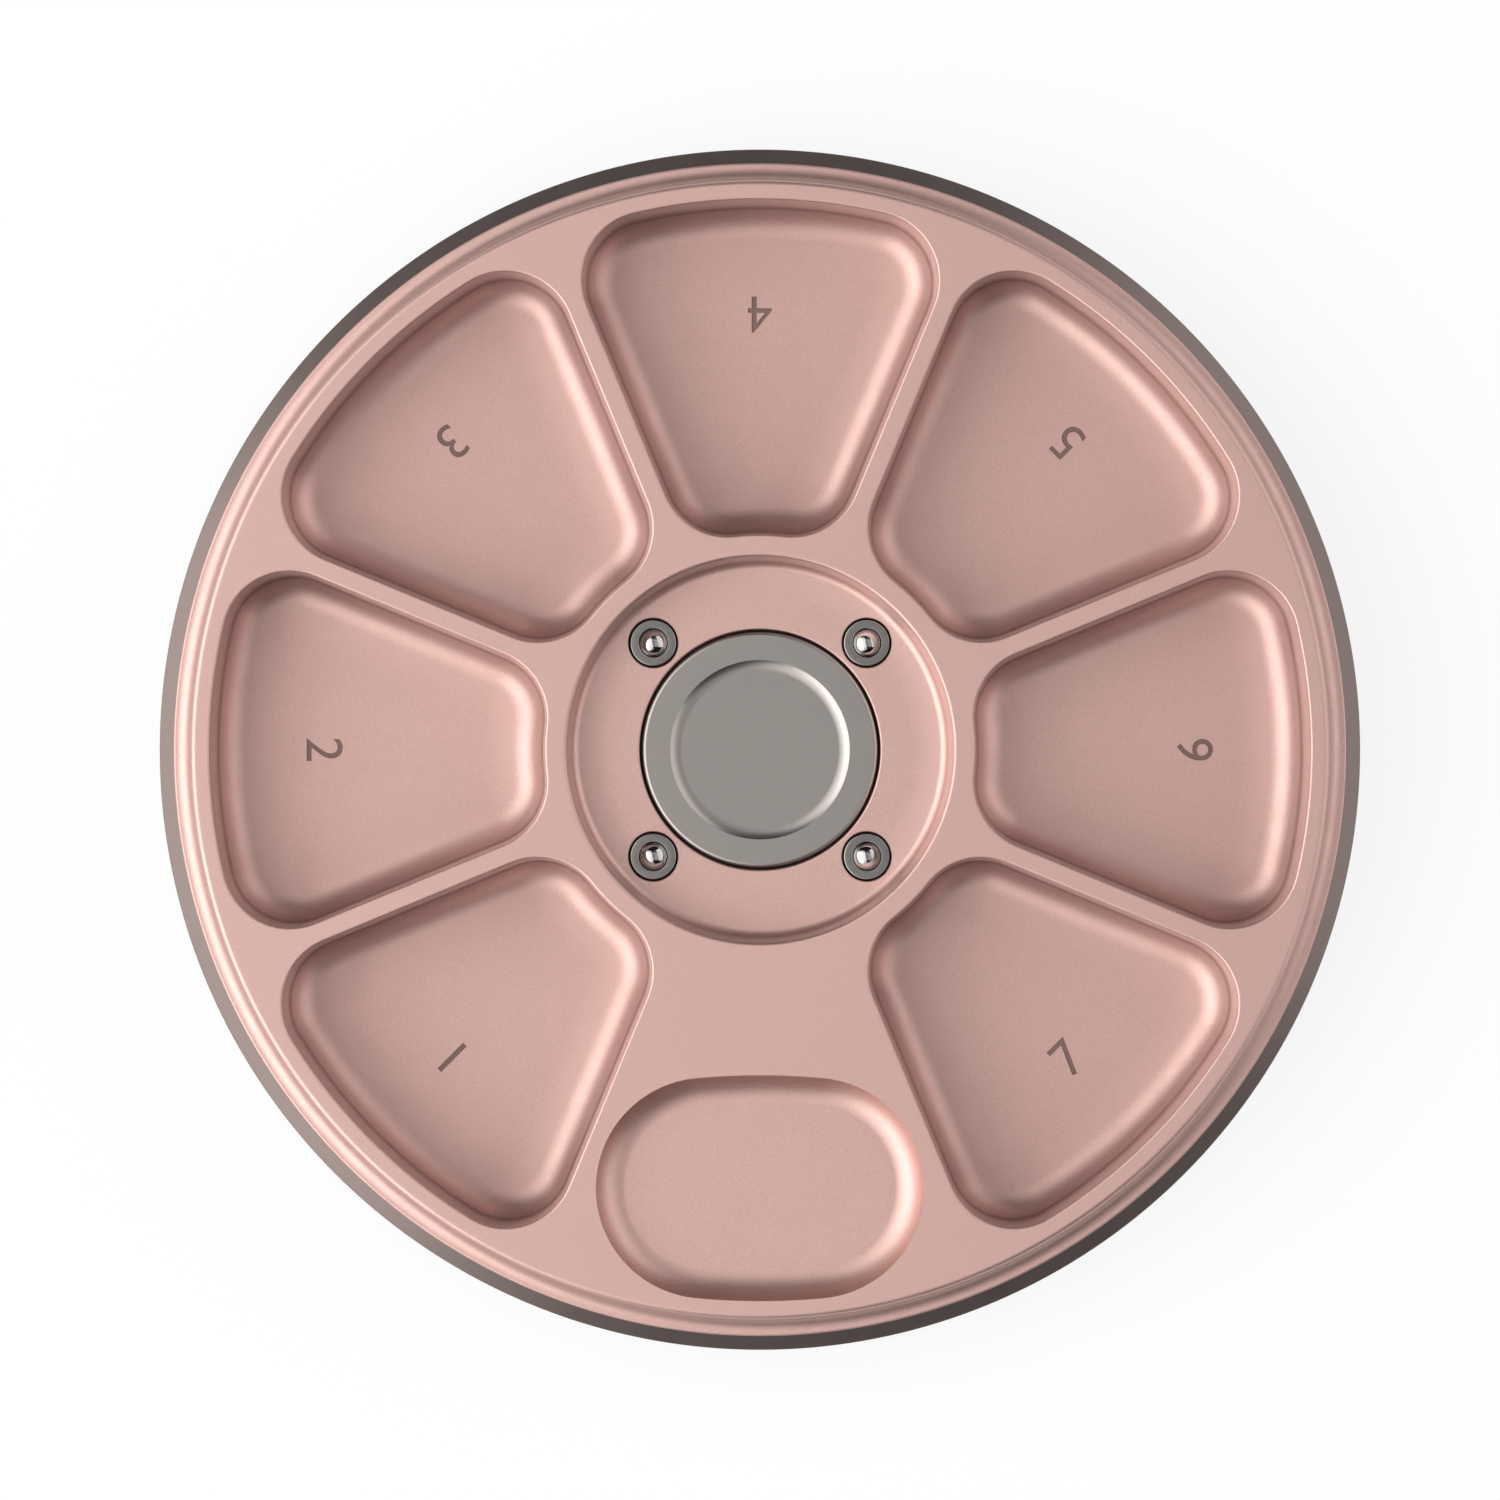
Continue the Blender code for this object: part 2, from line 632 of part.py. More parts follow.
def make_plungers(sleeve_material, ball_material, spring_material):
    """The four ball plungers; each ball's origin is at its middle, on its sleeve's axis."""
    sleeve = plunger_mesh()
    ball = ball_mesh()
    spring = spring_curve()
    for number in range(PLUNGERS):
        centre, angle = plunger_place(number)
        low = Vector(centre) - Vector((0, 0, ball_drop))
        place(f"plunger_body_{number + 1}", sleeve, sleeve_material, centre, angle)
        place(f"plunger_ball_{number + 1}", ball, ball_material, low, angle)
        place(f"plunger_spring_{number + 1}", spring, spring_material, centre, angle)


def main():
    clear_scene()
    rose = make_material("rose_anodised_aluminium", (0.640, 0.420, 0.375), 1, 0.38)
    graphite = make_material("graphite_anodised_aluminium", (0.160, 0.132, 0.125), 1, 0.42)
    satin_steel = make_material("satin_steel", (0.48, 0.46, 0.42), 1, 0.34)
    ball_steel = make_material("polished_ball_steel", (0.62, 0.61, 0.60), 1, 0.06)
    spring_steel = make_material("spring_steel", (0.40, 0.40, 0.41), 1, 0.30)
    nickel = make_material("nickel_plated_magnet", (0.58, 0.55, 0.50), 1, 0.20)
    zinc = make_material("zinc_plated_screw", (0.50, 0.50, 0.52), 1, 0.28)
    silicone = make_material("grey_silicone", (0.045, 0.042, 0.042), 0, 0.70)
    make_shell(graphite)
    make_tray(rose)
    make_foot(silicone)
    make_disc(satin_steel)
    make_magnet(nickel)
    make_screws(zinc)
    make_plungers(satin_steel, ball_steel, spring_steel)


main()
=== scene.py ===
"""Round weekly pill case, dressed: fine meshes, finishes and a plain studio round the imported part.

Sizes are in millimetres and are turned into metres where a mesh is made. The case stands on the
ground at the origin, its oval dish towards -Y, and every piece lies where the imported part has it.
"""

import logging
import math
from dataclasses import dataclass, replace
from enum import Enum

import bpy
from mathutils import Matrix, Vector


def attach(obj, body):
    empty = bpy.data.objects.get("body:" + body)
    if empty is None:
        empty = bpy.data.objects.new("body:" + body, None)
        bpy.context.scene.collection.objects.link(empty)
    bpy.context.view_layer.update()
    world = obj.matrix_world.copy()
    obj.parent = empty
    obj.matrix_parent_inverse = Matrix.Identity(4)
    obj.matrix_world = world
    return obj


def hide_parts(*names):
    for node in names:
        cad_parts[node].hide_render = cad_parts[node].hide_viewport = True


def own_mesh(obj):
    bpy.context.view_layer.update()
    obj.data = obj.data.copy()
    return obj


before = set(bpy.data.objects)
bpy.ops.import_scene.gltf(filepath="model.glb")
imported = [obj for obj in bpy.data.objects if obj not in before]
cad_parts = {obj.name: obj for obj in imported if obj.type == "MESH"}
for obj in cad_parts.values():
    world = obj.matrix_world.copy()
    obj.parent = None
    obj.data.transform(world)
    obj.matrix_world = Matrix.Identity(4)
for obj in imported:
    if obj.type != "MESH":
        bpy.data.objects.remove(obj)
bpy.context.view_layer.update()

LOG = logging.getLogger("pill_case")
Thing = bpy.types.Object
Socket = bpy.types.NodeSocket
Tree = bpy.types.NodeTree
Colour = tuple[float, float, float]
Corner = tuple[float, float, float]  # across, up, fillet radius
Place = tuple[float, float, float]
Ease = tuple[float, float]  # width, and slope at the fillet's foot
Span = tuple[float, float]

MM = 0.001
QUARTER = math.pi / 2
MERGE_DISTANCE = 0.0004  # of points that are one
ARC_STEP = math.radians(7.5)  # widest turn between two points of a fillet
EDGE_STEPS = 4  # across a small rounded edge
SHARP_ANGLE = math.radians(30)
BY_AREA = 100  # weight at which a face's size alone counts for a normal
OVERRUN = 1.0  # how far a cutter reaches past the face it opens
RUN_IN = 1.0  # how far a profile runs on along a flat face before it is closed
EASE_STEPS = 4  # from a fillet's foot to the floor

CLOUD = 9.0  # distance between slow changes of colour
PATCH = 2.5  # distance between patches of gloss
SPECKLE = 0.13  # distance between dots of the speckle
NOISE_RANGE = (0.3, 0.7)  # between which a noise mostly lies
RINGS_AT_ONE = 20  # rings that a Wave texture has in a unit at scale 1
RING_WOBBLE = 1.2
RING_LAYERS = 2.0  # of finer noise in the rings' wobble
SPECKLE_LAYERS = 1.0
GRAIN_LAYERS = 3.0
PATCH_LAYERS = 4.0


class Grain(Enum):
    """What a surface looks like close up."""

    BLASTED = "bead-blasted"
    TURNED = "fine rings from a lathe"
    POLISHED = "polished"
    MOULDED = "moulded against an eroded tool"


class Plane(Enum):
    """Where a wire is drawn: the plane's up direction, and the axis its arcs turn about."""

    PROFILE = ((0, 0, 1), (0, -1, 0))
    PLAN = ((0, 1, 0), (0, 0, 1))

    def point(self, across: float, up: float) -> Vector:
        """A point of the plane, in millimetres."""
        return Vector((across, 0, 0)) + Vector(self.value[0]) * up

    @property
    def axis(self) -> Vector:
        """The axis that a positive turn goes about."""
        return Vector(self.value[1])


def mapped(tree: Tree, source: Socket, span: Span, ends: Span = (0, 1)) -> Socket:
    """Adds a Map Range node.

    Args:
        tree: the nodes that it joins.
        source: the value that it maps.
        span: the values that become the ends.
        ends: the lowest and the highest result.

    Returns:
        The socket that gives the result.
    """
    node = tree.nodes.new("ShaderNodeMapRange")
    for socket, value in zip(("From Min", "From Max", "To Min", "To Max"), (*span, *ends)):
        node.inputs[socket].default_value = value
    tree.links.new(source, node.inputs["Value"])
    return node.outputs[0]


@dataclass(frozen=True)
class Finish:
    """A surface as its maker would name it: colour, gloss and grain."""

    name: str
    slot: str
    colour: Colour
    roughness: float
    grain: Grain
    grain_size: float
    grain_depth: float
    metallic: float = 1.0
    coat: float = 0.0
    coat_roughness: float = 0.45
    unevenness: float = 0.01
    roughness_spread: float = 0.02
    speckle: float = 0.0
    # painted light: a lighter, paler colour that the surface turns to higher up
    high_colour: Colour | None = None
    fade: Span = (4.9, 6.2)  # heights where high_colour begins and is reached

    def _noise(self, tree: Tree, size: float, detail: float) -> Socket:
        """Adds a noise on Object coordinates.

        Args:
            tree: the nodes that it joins.
            size: rough distance between its bumps, in millimetres.
            detail: how many finer layers it has.

        Returns:
            The socket that gives its value.
        """
        nodes, links = tree.nodes, tree.links
        coordinates = nodes.new("ShaderNodeTexCoord")
        noise = nodes.new("ShaderNodeTexNoise")
        noise.inputs["Scale"].default_value = 1 / (size * MM)
        noise.inputs["Detail"].default_value = detail
        links.new(coordinates.outputs["Object"], noise.inputs["Vector"])
        return noise.outputs["Fac"]

    def _turn_with_height(self, tree: Tree, source: Socket) -> Socket:
        """Paints light on a colour: turns it lighter and paler with height.

        Args:
            tree: the nodes that it joins.
            source: the colour low down.

        Returns:
            The socket that gives the colour at any height.
        """
        nodes, links = tree.nodes, tree.links
        coordinates = nodes.new("ShaderNodeTexCoord")
        split = nodes.new("ShaderNodeSeparateXYZ")
        painted_light_mix = nodes.new("ShaderNodeMix")
        painted_light_mix.data_type = "RGBA"
        painted_light_mix.inputs["B"].default_value = (*self.high_colour, 1)
        links.new(coordinates.outputs["Object"], split.inputs[0])
        low, high = self.fade
        rise = mapped(tree, split.outputs["Z"], (low * MM, high * MM))
        links.new(rise, painted_light_mix.inputs["Factor"])
        links.new(source, painted_light_mix.inputs["A"])
        return painted_light_mix.outputs["Result"]

    def _rings(self, tree: Tree) -> Socket:
        """Adds turning marks as fine rings about the upright axis.

        Args:
            tree: the nodes that they join.

        Returns:
            The socket that gives their height.
        """
        nodes, links = tree.nodes, tree.links
        coordinates = nodes.new("ShaderNodeTexCoord")
        rings = nodes.new("ShaderNodeTexWave")
        rings.wave_type = "RINGS"
        rings.rings_direction = "Z"
        rings.inputs["Scale"].default_value = 1 / (self.grain_size * MM) / RINGS_AT_ONE
        rings.inputs["Distortion"].default_value = RING_WOBBLE
        rings.inputs["Detail"].default_value = RING_LAYERS
        links.new(coordinates.outputs["Object"], rings.inputs["Vector"])
        return rings.outputs["Fac"]

    def _tone(self, tree: Tree) -> Socket:
        """Builds the colour: slow changes, painted light that lightens it with height, and a fine
        speckle.

        Args:
            tree: the nodes that it joins.

        Returns:
            The socket that gives the colour.
        """
        nodes, links = tree.nodes, tree.links
        shade = nodes.new("ShaderNodeMix")
        shade.data_type = "RGBA"
        for socket, way in (("A", -1), ("B", 1)):
            tone = [part * (1 + way * self.unevenness) for part in self.colour]
            shade.inputs[socket].default_value = (*tone, 1)
        clouds = self._noise(tree, CLOUD, GRAIN_LAYERS)
        links.new(mapped(tree, clouds, NOISE_RANGE), shade.inputs["Factor"])
        colour = shade.outputs["Result"]
        if self.high_colour:
            colour = self._turn_with_height(tree, colour)
        specks = self._noise(tree, SPECKLE, SPECKLE_LAYERS)
        dots = mapped(tree, specks, NOISE_RANGE, (1 - self.speckle, 1 + self.speckle))
        speckled = nodes.new("ShaderNodeHueSaturation")
        links.new(colour, speckled.inputs["Color"])
        links.new(dots, speckled.inputs["Value"])
        return speckled.outputs["Color"]

    def _gloss(self, tree: Tree) -> Socket:
        """Builds the roughness, which changes a little from patch to patch.

        Args:
            tree: the nodes that it joins.

        Returns:
            The socket that gives the roughness.
        """
        patches = self._noise(tree, PATCH, PATCH_LAYERS)
        low, high = self.roughness - self.roughness_spread, self.roughness + self.roughness_spread
        return mapped(tree, patches, NOISE_RANGE, (low, high))

    def _relief(self, tree: Tree) -> Socket:
        """Builds the grain: blasted bumps, or the rings of a lathe.

        Args:
            tree: the nodes that it joins.

        Returns:
            The socket that gives the normal.
        """
        if self.grain is Grain.TURNED:
            grain = self._rings(tree)
        else:
            grain = self._noise(tree, self.grain_size, GRAIN_LAYERS)
        bump = tree.nodes.new("ShaderNodeBump")
        bump.inputs["Strength"].default_value = 1.0
        bump.inputs["Distance"].default_value = self.grain_depth * MM
        tree.links.new(grain, bump.inputs["Height"])
        return bump.outputs["Normal"]

    def material(self) -> bpy.types.Material:
        """Builds the finish as a node material, or finds it if a piece already wears it.

        Returns:
            The material.
        """
        made = bpy.data.materials.get(self.name)
        if made:
            return made
        made = bpy.data.materials.new(self.name)
        made.use_nodes = True
        tree = made.node_tree
        shader = tree.nodes["Principled BSDF"]
        shader.distribution = "GGX"
        shader.inputs["Metallic"].default_value = self.metallic
        shader.inputs["Coat Weight"].default_value = self.coat
        shader.inputs["Coat Roughness"].default_value = self.coat_roughness
        tree.links.new(self._tone(tree), shader.inputs["Base Color"])
        tree.links.new(self._gloss(tree), shader.inputs["Roughness"])
        tree.links.new(self._relief(tree), shader.inputs["Normal"])
        return made


ROSE = Finish(
    "rose_anodised_blasted", "rose_aluminium", (0.655, 0.410, 0.362), 0.50, Grain.BLASTED, 0.15, 0.0045,
    coat=1.0, speckle=0.08,
)
# painted light on milled walls: the rose turns lighter and paler from the fillet upwards
WALL_PAINTED_LIGHT = replace(ROSE, name="rose_wall_painted_light", high_colour=(0.670, 0.475, 0.445))
# a darker rose for a band at the top of each pocket's fillet
FILLET_TOP_DARK_BAND = replace(ROSE, name="rose_fillet_top_dark_band", colour=(0.500, 0.345, 0.320))
# painted shade: a dark rose on the walls of the disc and magnet bores
DISC_BORE_PAINTED_SHADE = Finish(
    "rose_disc_bore_painted_shade", "rose_aluminium", (0.210, 0.145, 0.130), 0.55, Grain.BLASTED, 0.15, 0.0030,
)
# painted shade: near black for the deep plunger holes and the inside of the sleeves
DEEP_BORE_PAINTED_SHADE = Finish(
    "rose_deep_bore_painted_shade", "rose_aluminium", (0.050, 0.036, 0.033), 0.60, Grain.BLASTED, 0.15, 0.0030,
)
ENGRAVED = Finish(
    "rose_engraved", "rose_aluminium", (0.270, 0.175, 0.155), 0.55, Grain.BLASTED, 0.15, 0.006,
    unevenness=0.06, roughness_spread=0.04,
)
GRAPHITE = Finish(
    "graphite_anodised_blasted", "graphite_aluminium", (0.250, 0.196, 0.182), 0.38,
    Grain.BLASTED, 0.15, 0.002, speckle=0.04,
)
SATIN = Finish(
    "satin_turned_steel", "satin_steel", (0.392, 0.358, 0.336), 0.33, Grain.TURNED, 0.12, 0.0003,
    unevenness=0.004, roughness_spread=0.006,
)
SLEEVE = Finish(
    "satin_sleeve_steel", "plunger_steel", (0.350, 0.332, 0.316), 0.22, Grain.BLASTED, 0.10, 0.00008,
)
MIRROR = Finish(
    "polished_ball_steel", "ball_steel", (0.46, 0.45, 0.435), 0.04, Grain.POLISHED, 0.40, 0.00005,
    roughness_spread=0.015,
)
SPRING = Finish(
    "drawn_spring_steel", "spring_steel", (0.42, 0.42, 0.42), 0.28, Grain.POLISHED, 0.12, 0.0012,
)
NICKEL = Finish(
    "nickel_plated_magnet", "magnet", (0.60, 0.57, 0.52), 0.20, Grain.POLISHED, 0.5, 0.0010,
)
ZINC = Finish(
    "zinc_plated_screw", "screw_steel", (0.52, 0.52, 0.53), 0.30, Grain.BLASTED, 0.20, 0.0020,
)
SILICONE = Finish(
    "grey_silicone", "silicone", (0.040, 0.038, 0.038), 0.62, Grain.MOULDED, 0.25, 0.0060, metallic=0.0,
)


class Pen:
    """Draws a wire stroke by stroke: straight ones by extrusion, arcs by spin."""

    def __init__(self, name: str, plane: Plane, across: float, up: float, height: float = 0.0) -> None:
        """Starts a wire at one point.

        Args:
            name: the object's name.
            plane: the plane it is drawn in.
            across: the first point's place along X, in millimetres.
            up: its place along the plane's up direction.
            height: how far the plane lies along its axis.
        """
        self.plane = plane
        self.here = Vector((across, up))
        self.lift = plane.axis * height
        bpy.ops.object.select_all(action="DESELECT")
        bpy.ops.mesh.primitive_plane_add(size=MM)
        self.thing = bpy.context.object
        self.thing.name = name
        bpy.ops.object.mode_set(mode="EDIT")
        bpy.ops.mesh.select_mode(type="VERT")
        bpy.ops.mesh.select_all(action="SELECT")
        bpy.ops.mesh.merge(type="CENTER")
        bpy.ops.transform.translate(value=(plane.point(across, up) + self.lift) * MM)

    def line(self, across: float, up: float) -> None:
        """Draws a straight stroke to a point.

        Args:
            across: the point's place along X.
            up: its place along the plane's up direction.
        """
        there = Vector((across, up))
        if (there - self.here).length > MERGE_DISTANCE:
            step = self.plane.point(*(there - self.here)) * MM
            bpy.ops.mesh.extrude_vertices_move(TRANSFORM_OT_translate={"value": step})
        self.here = there

    def arc(self, across: float, up: float, turn: float, steps: int = 0) -> None:
        """Draws an arc from where the pen is.

        Args:
            across: the arc's middle along X.
            up: its middle along the plane's up direction.
            turn: how far it goes, anticlockwise if positive.
            steps: how many edges it has, or 0 to go by the widest turn.
        """
        centre = Vector((across, up))
        bpy.ops.mesh.spin(
            steps=steps or max(1, math.ceil(abs(turn) / ARC_STEP)), dupli=False, angle=-turn,
            center=(self.plane.point(across, up) + self.lift) * MM, axis=self.plane.axis,
        )
        self.here = centre + Matrix.Rotation(turn, 2) @ (self.here - centre)

    def corners(self, corners: list[Corner], closed: bool = False) -> None:
        """Goes through corners, each with its fillet. Where the wire is closed, the pen has to
        start on the stroke that leads to the first corner.

        Args:
            corners: places and fillet radii.
            closed: whether the last corner leads back to the first.
        """
        count = len(corners)
        for number, (across, up, fillet) in enumerate(corners):
            corner = Vector((across, up))
            following = corners[(number + 1) % count]
            if not fillet or (number == count - 1 and not closed):
                self.line(across, up)
                continue
            coming = (corner - self.here).normalized()
            going = (Vector(following[:2]) - corner).normalized()
            turn = math.atan2(coming.cross(going), coming.dot(going))
            start = corner - coming * fillet * math.tan(abs(turn) / 2)
            self.line(*start)
            side = Vector((-coming.y, coming.x)) * math.copysign(fillet, turn)
            self.arc(*(start + side), turn)

    def lift_off(self) -> Thing:
        """Ends the drawing and merges points that are one.

        Returns:
            The object.
        """
        bpy.ops.mesh.select_all(action="SELECT")
        bpy.ops.mesh.remove_doubles(threshold=MERGE_DISTANCE * MM)
        bpy.ops.object.mode_set(mode="OBJECT")
        return self.thing

    def turn_round(self, steps: int) -> Thing:
        """Turns the wire once about the upright axis and ends the drawing.

        Args:
            steps: how many facets go round.

        Returns:
            The solid.
        """
        bpy.ops.mesh.select_all(action="SELECT")
        bpy.ops.mesh.spin(steps=steps, dupli=False, angle=math.tau, center=(0, 0, 0), axis=(0, 0, 1))
        return mend(self.lift_off())


def pick(thing: Thing) -> None:
    """Makes a thing the only one selected, and the active one.

    Args:
        thing: what is picked.
    """
    bpy.ops.object.select_all(action="DESELECT")
    thing.select_set(True)
    bpy.context.view_layer.objects.active = thing


def mend(thing: Thing) -> Thing:
    """Merges a solid's doubled points, closes its open ends flat and turns its faces outwards.

    Args:
        thing: the solid.

    Returns:
        The same object.
    """
    pick(thing)
    bpy.ops.object.mode_set(mode="EDIT")
    bpy.ops.mesh.select_mode(type="VERT")
    bpy.ops.mesh.select_all(action="SELECT")
    bpy.ops.mesh.remove_doubles(threshold=MERGE_DISTANCE * MM)
    bpy.ops.mesh.select_all(action="DESELECT")
    bpy.ops.mesh.select_non_manifold()
    bpy.ops.mesh.fill_holes(sides=0)
    bpy.ops.mesh.select_all(action="SELECT")
    bpy.ops.mesh.normals_make_consistent(inside=False)
    bpy.ops.object.mode_set(mode="OBJECT")
    return thing


def turned(name: str, corners: list[Corner], steps: int, closed: bool = False) -> Thing:
    """Turns a solid on the upright axis.

    Args:
        name: the object's name.
        corners: its profile, as radius, height and fillet.
        steps: how many facets go round.
        closed: whether the profile closes on itself, as a ring's does. An open one is closed flat.

    Returns:
        The solid.
    """
    if closed:
        first, last = Vector(corners[0][:2]), Vector(corners[-1][:2])
        start = (first + last) / 2
    else:
        start = Vector(corners[0][:2])
    pen = Pen(name, Plane.PROFILE, *start)
    pen.corners(corners if closed else corners[1:], closed)
    if closed:
        pen.line(*start)
    return pen.turn_round(steps)


def quarter_turns(steps: int) -> list[tuple[float, float]]:
    """Where each step of a quarter round starts and ends."""
    return [(QUARTER * step / steps, QUARTER * (step + 1) / steps) for step in range(steps)]


def sink(thickness: float, drop: float) -> None:
    """Insets the picked face and lowers it.

    Args:
        thickness: how far it is inset, in millimetres.
        drop: how far it is lowered.
    """
    if thickness > 0:
        bpy.ops.mesh.inset(thickness=thickness * MM, depth=0, use_even_offset=True)
    bpy.ops.transform.translate(value=(0, 0, -drop * MM))


def easing(width: float, slope: float) -> list[tuple[float, float]]:
    """Works out how the foot of a fillet eases into a floor.

    Args:
        width: how wide the easing is.
        slope: its slope at the fillet's foot.

    Returns:
        The inset and the drop of each step, or nothing where there is no width.
    """
    part = width / EASE_STEPS
    slopes = [slope * (1 - (step + 0.5) / EASE_STEPS) for step in range(EASE_STEPS)]
    return [(part, part * math.tan(angle)) for angle in slopes if part]


def milled(
    outline: Pen, edge: float, wall: float, fillet: float, lean: float = 0.0, ease: Ease = (0.0, 0.0),
) -> Thing:
    """Makes the space that a ball-nosed mill leaves below an outline drawn at the top face.

    Args:
        outline: the outline, closed, drawn where the rounded top edge begins.
        edge: radius of the rounded top edge.
        wall: depth of the wall between edge and fillet.
        fillet: radius round the floor.
        lean: how far the wall leans in on its way down.
        ease: how the fillet's foot eases into the floor.

    Returns:
        The space as a solid, which reaches past the top face.
    """
    space = outline.lift_off()
    bpy.ops.object.mode_set(mode="EDIT")
    bpy.ops.mesh.select_all(action="SELECT")
    bpy.ops.mesh.edge_face_add()
    bpy.ops.mesh.extrude_region_move(TRANSFORM_OT_translate={"value": (0, 0, -OVERRUN * MM)})
    for start, end in quarter_turns(EDGE_STEPS if edge else 0):
        sink(edge * (math.sin(end) - math.sin(start)), edge * (math.cos(start) - math.cos(end)))
    if wall:
        sink(lean, wall)
    for start, end in quarter_turns(math.ceil(QUARTER / ARC_STEP)):
        sink(fillet * (math.cos(start) - math.cos(end)), fillet * (math.sin(end) - math.sin(start)))
    for inset, drop in easing(*ease):
        sink(inset, drop)
    bpy.ops.object.mode_set(mode="OBJECT")
    return mend(space)


def copied(thing: Thing, name: str, place: Place = (0, 0, 0), turn: float = 0) -> Thing:
    """Copies a thing with a mesh of its own, turned about the upright axis and then moved.

    Args:
        thing: what is copied.
        name: the copy's name.
        place: how far it is moved, in millimetres.
        turn: how far it is turned first.

    Returns:
        The copy, at the origin, with its place in its mesh.
    """
    pick(thing)
    bpy.ops.object.duplicate()
    copy = bpy.context.object
    copy.name = name
    copy.data.transform(Matrix.Translation(Vector(place) * MM) @ Matrix.Rotation(turn, 4, "Z"))
    return copy


def joined(things: list[Thing], name: str) -> Thing:
    """Joins things into the first.

    Args:
        things: what is joined.
        name: the first one's new name.

    Returns:
        The first, with the others in its mesh.
    """
    pick(things[0])
    for thing in things[1:]:
        thing.select_set(True)
    bpy.ops.object.join()
    things[0].name = name
    return things[0]


def cut(thing: Thing, space: Thing) -> None:
    """Cuts a space out of a solid. Its faces keep the space's material where that has one.

    Args:
        thing: the solid.
        space: what is taken out; it is gone afterwards.
    """
    pick(thing)
    boolean = thing.modifiers.new("cut", "BOOLEAN")
    boolean.operation = "DIFFERENCE"
    boolean.solver = "EXACT"
    boolean.material_mode = "TRANSFER"
    boolean.object = space
    bpy.ops.object.modifier_apply(modifier=boolean.name)
    bpy.data.objects.remove(space, do_unlink=True)


def smooth(thing: Thing) -> None:
    """Shades a thing smooth but for its real edges, with its flat faces kept flat.

    Args:
        thing: the piece.
    """
    pick(thing)
    bpy.ops.object.shade_smooth_by_angle(angle=SHARP_ANGLE)
    even = thing.modifiers.new("even", "WEIGHTED_NORMAL")
    even.keep_sharp = True
    even.weight = BY_AREA
    bpy.ops.object.modifier_apply(modifier=even.name)


def finished(thing: Thing, finish: Finish, body: str, *nodes: str) -> Thing:
    """Shades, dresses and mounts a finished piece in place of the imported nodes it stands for.

    Args:
        thing: the piece.
        finish: what it is finished in.
        body: the body that it moves with.
        nodes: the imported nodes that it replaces.

    Returns:
        The piece.
    """
    smooth(thing)
    if not thing.data.materials:
        thing.data.materials.append(finish.material())
    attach(thing, body)
    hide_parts(*nodes)
    LOG.info("%s: %d faces, %s", thing.name, len(thing.data.polygons), finish.name)
    return thing


def tinted(thing: Thing, finish: Finish, low: float, high: float, reach: float = math.inf) -> None:
    """Gives a finish to the faces whose middle lies between two heights.

    Args:
        thing: the piece, or the space that is cut out of one.
        finish: what the faces get.
        low: the lower height, in millimetres.
        high: the upper height.
        reach: how far from the upright axis the faces may lie.
    """
    thing.data.materials.append(finish.material())
    slot = len(thing.data.materials) - 1
    for face in thing.data.polygons:
        middle = face.center / MM
        if low < middle.z < high and middle.to_2d().length < reach:
            face.material_index = slot


def on_circle(radius: float, angle: float, height: float = 0.0) -> Place:
    """A place on a circle about the case's axis."""
    return (radius * math.cos(angle), radius * math.sin(angle), height)


@dataclass
class Pocket:
    """One of the seven milled day pockets, drawn about +X."""

    inner: float = 21.55
    outer: float = 55.05
    web: float = 2.0  # between two pockets
    corner: float = 6.8
    edge: float = 0.22
    depth: float = 12.0
    fillet: float = 3.2
    lean: float = 0.3  # of the wall, from its top to its foot
    mark: float = 1.2  # height of the darker band at the fillet's top, below the wall
    ease: Ease = (2.9, math.radians(3.5))
    corner_steps: int = 18
    outer_steps: int = 18
    inner_steps: int = 10

    @property
    def wall(self) -> float:
        """Depth of the wall between the rounded edge and the fillet."""
        return self.depth - self.edge - self.fillet - sum(drop for inset, drop in easing(*self.ease))

    def space(self, top: float, place_angle: float) -> Thing:
        """Makes the space that is milled out.

        Args:
            top: height of the tray's top face.
            place_angle: the turn from one place to the next.

        Returns:
            The space as a solid.
        """
        half = place_angle / 2
        reach = self.corner + self.edge
        off_web = self.web / 2 + self.corner
        far, near = self.outer - self.corner, self.inner + self.corner
        far_turn, near_turn = (half - math.asin(off_web / circle) for circle in (far, near))
        far_low, far_high = on_circle(far, -far_turn)[:2], on_circle(far, far_turn)[:2]
        near_low, near_high = on_circle(near, -near_turn)[:2], on_circle(near, near_turn)[:2]
        side = Vector((math.cos(QUARTER + half), math.sin(QUARTER + half))) * reach
        low_side = Vector((side.x, -side.y))
        pen = Pen("pocket_space", Plane.PLAN, *(Vector(far_low) + low_side), top + OVERRUN)
        pen.arc(*far_low, QUARTER + half - far_turn, self.corner_steps)
        pen.arc(0, 0, 2 * far_turn, self.outer_steps)
        pen.arc(*far_high, QUARTER + half - far_turn, self.corner_steps)
        pen.line(*(Vector(near_high) + side))
        pen.arc(*near_high, QUARTER - half + near_turn, self.corner_steps)
        pen.arc(0, 0, -2 * near_turn, self.inner_steps)
        pen.arc(*near_low, QUARTER - half + near_turn, self.corner_steps)
        pen.line(*(Vector(far_low) + low_side))
        return milled(pen, self.edge, self.wall, self.fillet, self.lean, self.ease)


